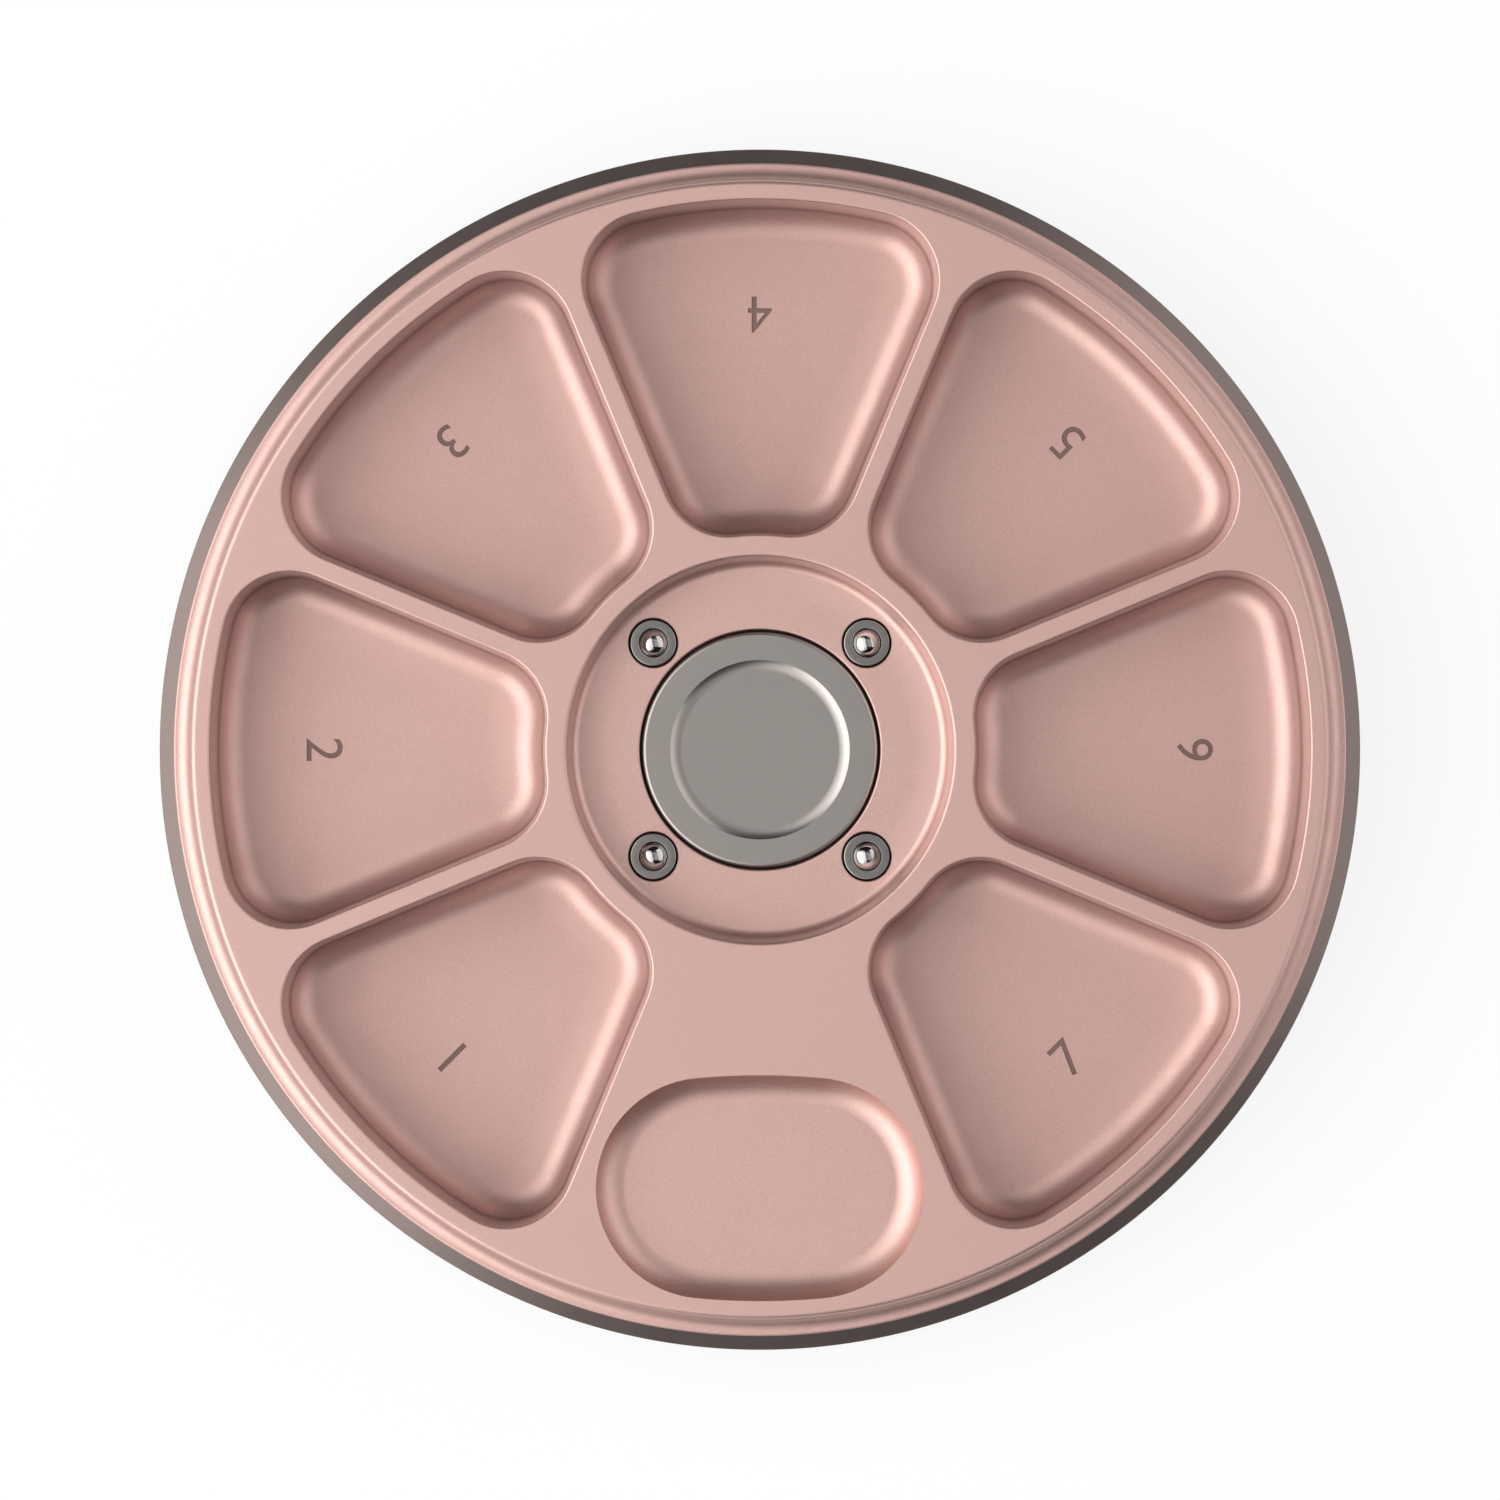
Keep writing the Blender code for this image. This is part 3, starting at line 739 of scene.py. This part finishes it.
@dataclass
class OvalDish:
    """The oval dish for the thumb, with its quarter-round wall."""

    length: float = 32.84
    width: float = 22.6
    bulge: float = 0.25  # of each long side
    depth: float = 2.9
    circle: float = 43.85  # its middle's distance from the axis
    end_steps: int = 40
    side_steps: int = 12

    def space(self, top: float) -> Thing:
        """Makes the space that is milled out.

        Args:
            top: height of the tray's top face.

        Returns:
            The space as a solid.
        """
        end = self.width / 2 - self.bulge
        off = self.length / 2 - end
        back = (off ** 2 - self.bulge ** 2) / (2 * self.bulge)
        lean = math.atan2(off, back)
        start = Vector((off, -self.circle)) + Vector((math.sin(lean), -math.cos(lean))) * end
        pen = Pen("dish_space", Plane.PLAN, *start, top + OVERRUN)
        pen.arc(off, -self.circle, 2 * (QUARTER - lean), self.end_steps)
        pen.arc(0, -self.circle - back, 2 * lean, self.side_steps)
        pen.arc(-off, -self.circle, 2 * (QUARTER - lean), self.end_steps)
        pen.arc(0, -self.circle + back, 2 * lean, self.side_steps)
        return milled(pen, 0, 0, self.depth)


@dataclass
class Numeral:
    """A shallow engraved number that tells the days apart."""

    height: float = 3.65
    depth: float = 0.16
    circle: float = 44.0  # its middle's distance from the axis

    def space(self, number: int, floor: float, angle: float) -> Thing:
        """Makes the space that the engraver takes out, its top towards the hub.

        Args:
            number: what it reads.
            floor: height of the pocket's floor.
            angle: the pocket's direction from the hub.

        Returns:
            The space as a solid.
        """
        bpy.ops.object.select_all(action="DESELECT")
        bpy.ops.object.text_add()
        bpy.context.object.data.body = str(number)
        bpy.ops.object.convert(target="MESH")
        space = bpy.context.object
        space.name = f"numeral_space_{number}"
        across, up = ([corner[way] for corner in space.bound_box] for way in (0, 1))
        middle = Vector(((min(across) + max(across)) / 2, (min(up) + max(up)) / 2, 0))
        size = self.height * MM / (max(up) - min(up))
        space.data.transform(Matrix.Scale(size, 4) @ Matrix.Translation(-middle))
        bpy.ops.object.mode_set(mode="EDIT")
        bpy.ops.mesh.select_all(action="SELECT")
        bpy.ops.mesh.remove_doubles(threshold=MERGE_DISTANCE * MM)
        rise = (0, 0, (OVERRUN + self.depth) * MM)
        bpy.ops.mesh.extrude_region_move(TRANSFORM_OT_translate={"value": rise})
        bpy.ops.object.mode_set(mode="OBJECT")
        place = Vector(on_circle(self.circle, angle, floor - self.depth)) * MM
        space.data.transform(Matrix.Translation(place) @ Matrix.Rotation(angle + QUARTER, 4, "Z"))
        space.data.materials.append(ENGRAVED.material())
        return mend(space)


@dataclass
class Tray:
    """The milled rose tray: stepped rim, pockets, dish, hub recess and holes.

    Names that end in top, bottom, floor, seat, shoulder or foot are heights, plain ones are radii.
    """

    top: float = 16.5
    bottom: float = 3.1
    body: float = 56.75
    flange: float = 58.78
    flange_bottom: float = 12.7
    ledge_top: float = 13.7
    spigot: float = 57.0
    ledge_fillet: float = 1.5
    top_fillet: float = 0.55
    foot_chamfer: float = 0.5
    body_edge: float = 0.2
    flange_edge: float = 0.1
    edge: float = 0.18
    hub: float = 18.88
    hub_floor_fillet: float = 0.9
    hub_ease: Ease = (2.9, math.radians(4.8))
    hub_wall_foot: float = 13.3
    hub_lean: float = 0.45  # of the hub's wall, outwards to its top
    hub_edge: float = 0.35
    hub_floor: float = 12.3
    disc_bore: float = 12.08
    disc_bore_edge: float = 0.2
    disc_shoulder: float = 9.15
    magnet_bore: float = 11.38
    magnet_seat: float = 5.85
    screw_hole: float = 1.65
    screw_head: float = 2.9
    countersink_top: float = 4.65
    countersink_foot: float = 3.4
    days: int = 7
    steps: int = 288
    hub_steps: int = 192

    @property
    def place_angle(self) -> float:
        """The turn from one place to the next."""
        return math.tau / (self.days + 1)

    def _block(self) -> Thing:
        """Turns the block that everything is cut from.

        Returns:
            The block.
        """
        return turned("tray_block", [
            (self.body - self.foot_chamfer, self.bottom, 0),
            (self.body, self.bottom + self.foot_chamfer, self.body_edge),
            (self.body, self.flange_bottom, self.body_edge),
            (self.flange, self.flange_bottom, self.flange_edge),
            (self.flange, self.ledge_top, self.edge),
            (self.spigot, self.ledge_top, self.ledge_fillet),
            (self.spigot, self.top, self.top_fillet),
            (self.spigot - RUN_IN, self.top, 0),
        ], self.steps)

    def _hub_floor(self) -> list[Corner]:
        """Works out the hub's floor, which eases down from its fillet.

        Returns:
            The floor's corners, from the wall inwards.
        """
        steps = easing(*self.hub_ease)
        reach = self.hub - self.hub_floor_fillet
        height = self.hub_floor + sum(drop for inset, drop in steps)
        slope = steps[0][1] / steps[0][0]
        corners = [(self.hub, height + self.hub_floor_fillet * slope, self.hub_floor_fillet)]
        for inset, drop in steps:
            reach, height = reach - inset, height - drop
            corners.append((reach, height, 0))
        return corners

    def _hub_space(self) -> Thing:
        """Turns the space of the hub: recess, disc bore, magnet bore and screw hole.

        Returns:
            The space as a solid.
        """
        edge = self.hub + self.hub_lean + self.hub_edge
        pen = Pen("hub_space", Plane.PROFILE, edge, self.top + OVERRUN)
        pen.line(edge, self.top)
        pen.arc(edge, self.top - self.hub_edge, QUARTER)
        pen.corners([
            (self.hub, self.hub_wall_foot, 0),
            *self._hub_floor(),
            (self.disc_bore, self.hub_floor, self.disc_bore_edge),
            (self.disc_bore, self.disc_shoulder, 0),
            (self.magnet_bore, self.disc_shoulder, 0),
            (self.magnet_bore, self.magnet_seat, 0),
            (self.screw_hole, self.magnet_seat, 0),
            (self.screw_hole, self.countersink_top, 0),
            (self.screw_head, self.countersink_foot, 0),
            (self.screw_head, self.bottom - OVERRUN, 0),
        ])
        return pen.turn_round(self.hub_steps)

    def make(self, pocket: Pocket, dish: OvalDish, numeral: Numeral, plunger: "BallPlunger") -> None:
        """Cuts the tray out of its block and finishes it.

        Args:
            pocket: the day pocket.
            dish: the oval dish.
            numeral: the engraved number.
            plunger: the plunger that its holes take.
        """
        tray = self._block()
        tray.data.materials.append(ROSE.material())
        first = pocket.space(self.top, self.place_angle)
        hub, oval = self._hub_space(), dish.space(self.top)
        for space in (first, hub, oval):
            space.data.materials.append(ROSE.material())
        foot = self.top - pocket.edge - pocket.wall
        # painted light on the pocket walls and the upper fillets
        tinted(first, WALL_PAINTED_LIGHT, self.top - pocket.depth + self.edge, self.top - pocket.edge)
        # the darker band at the top of the fillet
        tinted(first, FILLET_TOP_DARK_BAND, foot - pocket.mark, foot)
        # painted light on the hub's wall
        tinted(hub, WALL_PAINTED_LIGHT, self.hub_floor + self.hub_floor_fillet, self.top - self.hub_edge)
        bore_top, bore_reach = self.hub_floor - self.disc_bore_edge, self.disc_bore + self.edge
        # painted shade on the disc and magnet bores, below the bore's rounded edge
        tinted(hub, DISC_BORE_PAINTED_SHADE, self.magnet_seat, bore_top, bore_reach)
        spaces, numerals = [hub, oval], []
        for day in range(1, self.days + 1):
            angle = -QUARTER - self.place_angle * day
            spaces.append(copied(first, f"pocket_space_{day}", turn=angle))
            numerals.append(numeral.space(day, self.top - pocket.depth, angle))
        bpy.data.objects.remove(first, do_unlink=True)
        cut(tray, joined(spaces, "milled_spaces"))
        cut(tray, joined(numerals + plunger.holes(), "small_spaces"))
        tray.name = "milled_tray"
        finished(tray, ROSE, "case", "tray")


@dataclass
class Shell:
    """The turned graphite shell round and under the tray, named as the tray is."""

    bottom: float = 0.6
    groove_top: float = 1.4
    groove_inner: float = 50.0
    groove_outer: float = 56.4
    rim: float = 58.87
    rim_top: float = 12.4
    chamfer: float = 1.45  # width, seen from above
    chamfer_slope: float = math.radians(40)
    flare: float = 1.96  # how far the side's foot stands out past the rim
    corner: float = 3.0  # fillet at the side's foot
    bore: float = 57.05
    floor_top: float = 2.8
    floor_fillet: float = 1.0
    edge: float = 0.15
    rim_edge: float = 0.05
    steps: int = 288

    def make(self) -> None:
        """Turns the shell and finishes it."""
        edge = self.edge
        shoulder = self.rim_top - self.chamfer * math.tan(self.chamfer_slope)
        shell = turned("turned_shell", [
            (self.groove_inner - RUN_IN, self.bottom, 0),
            (self.groove_inner, self.bottom, edge),
            (self.groove_inner, self.groove_top, 0),
            (self.groove_outer, self.groove_top, 0),
            (self.groove_outer, self.bottom, edge),
            (self.rim + self.flare, self.bottom, self.corner),
            (self.rim + self.chamfer, shoulder, edge),
            (self.rim, self.rim_top, self.rim_edge),
            (self.bore, self.rim_top, edge),
            (self.bore, self.floor_top, self.floor_fillet),
            (self.bore - self.floor_fillet - RUN_IN, self.floor_top, 0),
        ], self.steps)
        finished(shell, GRAPHITE, "case", "base_shell")


@dataclass
class FootRing:
    """The silicone ring that the case stands on."""

    inner: float = 50.3
    outer: float = 56.1
    thickness: float = 1.1
    rounding: float = 0.3
    top_edge: float = 0.1
    steps: int = 240

    def make(self) -> None:
        """Moulds the ring and finishes it."""
        ring = turned("moulded_foot_ring", [
            (self.inner, 0, self.rounding),
            (self.outer, 0, self.rounding),
            (self.outer, self.thickness, self.top_edge),
            (self.inner, self.thickness, self.top_edge),
        ], self.steps, closed=True)
        finished(ring, SILICONE, "case", "foot_ring")


@dataclass
class CentreDisc:
    """The steel disc with its dished middle and the boss underneath."""

    radius: float = 11.83
    top: float = 12.45
    bottom: float = 9.45
    hollow: float = 9.01
    hollow_depth: float = 0.36
    cove: float = 2.0  # radius at which the hollow runs out
    edge: float = 0.4
    boss: float = 3.5
    boss_bottom: float = 6.15
    boss_fillet: float = 0.2
    under_edge: float = 0.1
    thread: float = 1.65
    thread_top: float = 9.35
    steps: int = 192

    def make(self) -> None:
        """Turns the disc and finishes it."""
        floor = self.top - self.hollow_depth
        slope = math.acos(1 - self.hollow_depth / self.cove)
        flat = self.hollow - self.cove * math.sin(slope)
        pen = Pen("turned_centre_disc", Plane.PROFILE, 0, floor)
        pen.line(flat, floor)
        pen.arc(flat, floor + self.cove, slope)
        pen.corners([
            (self.hollow, self.top, 0),
            (self.radius, self.top, self.edge),
            (self.radius, self.bottom, self.under_edge),
            (self.boss, self.bottom, self.boss_fillet),
            (self.boss, self.boss_bottom, self.under_edge),
            (self.thread, self.boss_bottom, self.under_edge),
            (self.thread, self.thread_top, 0),
            (0, self.thread_top, 0),
        ])
        finished(pen.turn_round(self.steps), SATIN, "case", "centre_disc")


@dataclass
class BallPlunger:
    """The four sprung balls in their collared sleeves, pressed into the hub.

    Places along a plunger are given as depths below its collar's top.
    """

    count: int = 4
    circle: float = 15.155  # their distance from the axis
    top: float = 12.3  # height of the collar's top
    length: float = 5.0
    sleeve: float = 2.0
    foot_chamfer: float = 0.12
    collar: float = 2.3
    collar_thickness: float = 0.9
    collar_edge: float = 0.1
    collar_foot_edge: float = 0.05
    bore: float = 1.65
    bore_top: float = 0.4
    bore_edge: float = 0.05
    floor_fillet: float = 0.15
    lip: float = 1.45
    lip_top: float = 0.05
    lip_bottom: float = 0.08
    lip_edge: float = 0.02
    mouth_edge: float = 0.03
    floor: float = 0.5  # thickness under the spring
    ball: float = 1.5
    ball_drop: float = 0.628  # of the ball's middle
    gap: float = 0.15
    rim_gap: float = 0.2
    foot_gap: float = 0.3
    hole_edge: float = 0.08
    travel: float = 0.8
    spring: float = 1.2  # radius to the wire's middle
    wire: float = 0.15  # its radius
    spring_top: float = 1.832
    spring_foot: float = 4.30
    coils: int = 3
    coil_steps: int = 40
    wire_steps: int = 16
    half_ball_steps: int = 48
    steps: int = 96

    def place(self, number: int) -> Place:
        """Where a plunger's collar top lies."""
        return on_circle(self.circle, math.tau * (number + 0.5) / self.count, self.top)

    def holes(self) -> list[Thing]:
        """The counterbored holes for the plungers, each with a broken edge and painted shade on its
        faces below that edge.

        Returns:
            One space for each plunger.
        """
        counterbore, step = self.collar + self.rim_gap, -self.collar_thickness - self.gap
        hole = turned("plunger_space", [
            (counterbore + self.hole_edge, OVERRUN, 0),
            (counterbore + self.hole_edge, 0, 0),
            (counterbore, -self.hole_edge, 0),
            (counterbore, step, 0),
            (self.sleeve + self.gap, step, 0),
            (self.sleeve + self.gap, -self.length - self.foot_gap, 0),
        ], self.steps)
        hole.data.materials.append(ROSE.material())
        # painted shade on the hole's faces below its broken edge
        tinted(hole, DEEP_BORE_PAINTED_SHADE, -self.length - OVERRUN, -self.hole_edge)
        holes = [copied(hole, f"plunger_space_{n}", self.place(n)) for n in range(self.count)]
        bpy.data.objects.remove(hole, do_unlink=True)
        return holes

    def _sleeve(self) -> Thing:
        """Turns a sleeve: collar, lip over the ball, bore, with painted shade inside.

        Returns:
            The sleeve, with its collar's top at height 0.
        """
        sleeve = turned("sleeve", [
            (self.sleeve - self.foot_chamfer, -self.length, 0),
            (self.sleeve, self.foot_chamfer - self.length, 0),
            (self.sleeve, -self.collar_thickness, 0),
            (self.collar, -self.collar_thickness, self.collar_foot_edge),
            (self.collar, 0, self.collar_edge),
            (self.ball, 0, self.mouth_edge),
            (self.lip, -self.lip_top, self.lip_edge),
            (self.lip, -self.lip_bottom, 0),
            (self.bore, -self.bore_top, self.bore_edge),
            (self.bore, self.floor - self.length, self.floor_fillet),
            (0, self.floor - self.length, 0),
        ], self.steps)
        sleeve.data.materials.append(SLEEVE.material())
        # painted shade inside the sleeve
        tinted(sleeve, DEEP_BORE_PAINTED_SHADE, -self.length, -self.hole_edge / 2, self.bore + self.gap)
        return sleeve

    def _ball(self) -> Thing:
        """Turns a ball about its middle from a half circle.

        Returns:
            The ball, its middle at the origin.
        """
        pen = Pen("ball", Plane.PROFILE, 0, -self.ball)
        pen.arc(0, 0, math.pi, self.half_ball_steps)
        return pen.turn_round(self.steps)

    def _spring(self) -> Thing:
        """Winds a spring from a round wire with a Screw modifier.

        Returns:
            The spring, placed for a collar whose top is at height 0.
        """
        pen = Pen("spring", Plane.PROFILE, self.spring + self.wire, -self.spring_foot)
        pen.arc(self.spring, -self.spring_foot, math.tau, self.wire_steps)
        spring = pen.lift_off()
        winding = spring.modifiers.new("winding", "SCREW")
        winding.iterations = self.coils
        winding.screw_offset = (self.spring_foot - self.spring_top) / self.coils * MM
        winding.steps = self.coil_steps
        winding.render_steps = self.coil_steps
        bpy.ops.object.modifier_apply(modifier=winding.name)
        return mend(spring)

    def make(self) -> None:
        """Makes one sleeve, ball and spring, and copies them to the four places."""
        parts = {"sleeve": self._sleeve(), "ball": self._ball(), "spring": self._spring()}
        for number in range(self.count):
            across, along, top = self.place(number)
            which = number + 1
            sleeve = copied(parts["sleeve"], f"plunger_sleeve_{which}", (across, along, top))
            finished(sleeve, SLEEVE, "case", f"plunger_body_{which}")
            ball = copied(parts["ball"], f"polished_ball_{which}", (across, along, top - self.ball_drop))
            finished(ball, MIRROR, f"ball_{which}", f"plunger_ball_{which}")
            spring = copied(parts["spring"], f"wound_spring_{which}", (across, along, top))
            finished(spring, SPRING, "case", f"plunger_spring_{which}")
            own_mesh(spring)
        for part in parts.values():
            bpy.data.objects.remove(part, do_unlink=True)


@dataclass
class Hardware:
    """The pieces inside and below that stay as packed and only get their finish."""

    tray_screws: int = 4

    def make(self) -> None:
        """Dresses the ring magnet and the screws."""
        dressed = {"centre_magnet": NICKEL, "disc_screw": ZINC}
        dressed |= {f"tray_screw_{number + 1}": ZINC for number in range(self.tray_screws)}
        for node, finish in dressed.items():
            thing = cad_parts[node]
            thing.data.materials.clear()
            thing.data.materials.append(finish.material())
            LOG.info("%s: as packed, %s", node, finish.name)


@dataclass(frozen=True)
class SoftBox:
    """A studio light with an even face, aimed at the case, in degrees and metres."""

    name: str
    azimuth: float
    elevation: float
    width: float
    height: float
    radiance: float
    distance: float = 1.4

    def make(self) -> None:
        """Hangs the light at its distance and turns it to the case."""
        light = bpy.data.lights.new(self.name, "AREA")
        light.shape = "RECTANGLE"
        light.size, light.size_y = self.width, self.height
        light.energy = self.radiance * math.pi * self.width * self.height
        lamp = bpy.data.objects.new(self.name, light)
        bpy.context.scene.collection.objects.link(lamp)
        around, above = math.radians(self.azimuth), math.radians(self.elevation)
        away = Vector((*on_circle(math.cos(above), around)[:2], math.sin(above)))
        lamp.location = away * self.distance
        lamp.rotation_euler = away.to_track_quat("Z", "Y").to_euler()
        lamp.visible_camera = False


@dataclass
class Studio:
    """Pale floor, dim room, soft boxes and the camera.

    Strengths and tones are shares of white.
    """

    camera_height: float = 1085.5
    camera_shift: tuple[float, float] = (-1.0, -0.03)
    lens: float = 256.56
    sensor: float = 36.0
    sight: float = 50.0  # how far the camera sees, in metres
    floor_size: float = 8.0  # in metres
    floor_parts: int = 8
    floor_drop: float = 0.05  # below the foot ring, so that they share no plane
    floor_glow: float = 0.85  # share of the floor's white that no shadow dims
    floor_tone: float = 0.88
    unseen_floor_tone: float = 0.15  # for the light that the floor throws back
    room_tone: float = 0.02
    boxes: tuple[SoftBox, ...] = (
        SoftBox("left_box", 193, 32, 2.52, 1.26, 1.98),
        SoftBox("left_sheet", 193, 45, 3.6, 2.1, 0.90),
        SoftBox("upper_left_box", 185, 62, 2.24, 1.12, 0.50),
        SoftBox("right_box", 15, 30, 2.35, 1.12, 1.10),
        SoftBox("low_right_box", 15, 18, 2.35, 0.59, 0.35),
        SoftBox("upper_right_box", 15, 55, 2.38, 1.4, 0.15),
        SoftBox("top_box", 0, 90, 1.0, 1.0, 0.36),
        SoftBox("ceiling", 0, 90, 2.4, 1.5, 0.47),
    )

    def _camera_tone(self, tree: Tree, unseen: float, seen: float) -> Socket:
        """Adds a grey that the camera sees and one that the light meets.

        Args:
            tree: the nodes that it joins.
            unseen: the grey for all but the camera.
            seen: the grey for the camera.

        Returns:
            The socket that gives the grey.
        """
        path = tree.nodes.new("ShaderNodeLightPath")
        return mapped(tree, path.outputs["Is Camera Ray"], (0, 1), (unseen, seen))

    def _white_share(self, tree: Tree) -> Socket:
        """Adds the share of plain white that the camera, reflections and glass see on the floor.

        Args:
            tree: the nodes that it joins.

        Returns:
            The socket that gives the share.
        """
        path = tree.nodes.new("ShaderNodeLightPath")
        share = path.outputs["Is Camera Ray"]
        for ray in ("Is Glossy Ray", "Is Transmission Ray"):
            either = tree.nodes.new("ShaderNodeMath")
            either.operation = "MAXIMUM"
            tree.links.new(share, either.inputs[0])
            tree.links.new(path.outputs[ray], either.inputs[1])
            share = either.outputs[0]
        glow = tree.nodes.new("ShaderNodeMath")
        glow.operation = "MULTIPLY"
        glow.inputs[1].default_value = self.floor_glow
        tree.links.new(share, glow.inputs[0])
        return glow.outputs[0]

    def _floor(self) -> None:
        """Lays the floor, which shows white to the camera and in reflections, with a soft shadow,
        and throws little light back up at the case's side.
        """
        bpy.ops.object.select_all(action="DESELECT")
        parts = self.floor_parts
        bpy.ops.mesh.primitive_grid_add(x_subdivisions=parts, y_subdivisions=parts, size=self.floor_size)
        bpy.ops.transform.translate(value=(0, 0, -self.floor_drop * MM))
        floor = bpy.context.object
        floor.name = "studio_floor"
        paint = bpy.data.materials.new("pale_floor")
        paint.use_nodes = True
        tree = paint.node_tree
        nodes, links = tree.nodes, tree.links
        nodes.clear()
        matt = nodes.new("ShaderNodeBsdfDiffuse")
        links.new(self._camera_tone(tree, self.unseen_floor_tone, self.floor_tone), matt.inputs["Color"])
        glow = nodes.new("ShaderNodeEmission")
        glow.inputs["Color"].default_value = (1, 1, 1, 1)
        glow.inputs["Strength"].default_value = 1.0
        mixed = nodes.new("ShaderNodeMixShader")
        links.new(self._white_share(tree), mixed.inputs[0])
        links.new(matt.outputs[0], mixed.inputs[1])
        links.new(glow.outputs[0], mixed.inputs[2])
        out = nodes.new("ShaderNodeOutputMaterial")
        links.new(mixed.outputs[0], out.inputs["Surface"])
        floor.data.materials.append(paint)

    def _room(self) -> None:
        """Sets a dim room, which shows white behind the case as a backdrop would."""
        world = bpy.data.worlds.new("studio_room")
        bpy.context.scene.world = world
        world.use_nodes = True
        tree = world.node_tree
        tone = self._camera_tone(tree, self.room_tone, 1.0)
        tree.links.new(tone, tree.nodes["Background"].inputs["Color"])

    def _camera(self) -> None:
        """Sets the camera straight above the case."""
        camera = bpy.data.cameras.new("camera")
        camera.lens = self.lens
        camera.sensor_width = self.sensor
        camera.clip_end = self.sight
        stand = bpy.data.objects.new("camera", camera)
        bpy.context.scene.collection.objects.link(stand)
        stand.location = Vector((*self.camera_shift, self.camera_height)) * MM
        bpy.context.scene.camera = stand

    def make(self) -> None:
        """Builds the studio."""
        self._floor()
        self._room()
        for box in self.boxes:
            box.make()
        self._camera()
        bpy.context.scene.view_settings.view_transform = "Standard"


def main() -> None:
    """Builds the dressed case and the studio in order."""
    logging.basicConfig(level=logging.INFO, format="%(message)s", force=True)
    plunger = BallPlunger()
    Shell().make()
    Tray().make(Pocket(), OvalDish(), Numeral(), plunger)
    FootRing().make()
    CentreDisc().make()
    plunger.make()
    Hardware().make()
    Studio().make()


if __name__ == "__main__":
    main()
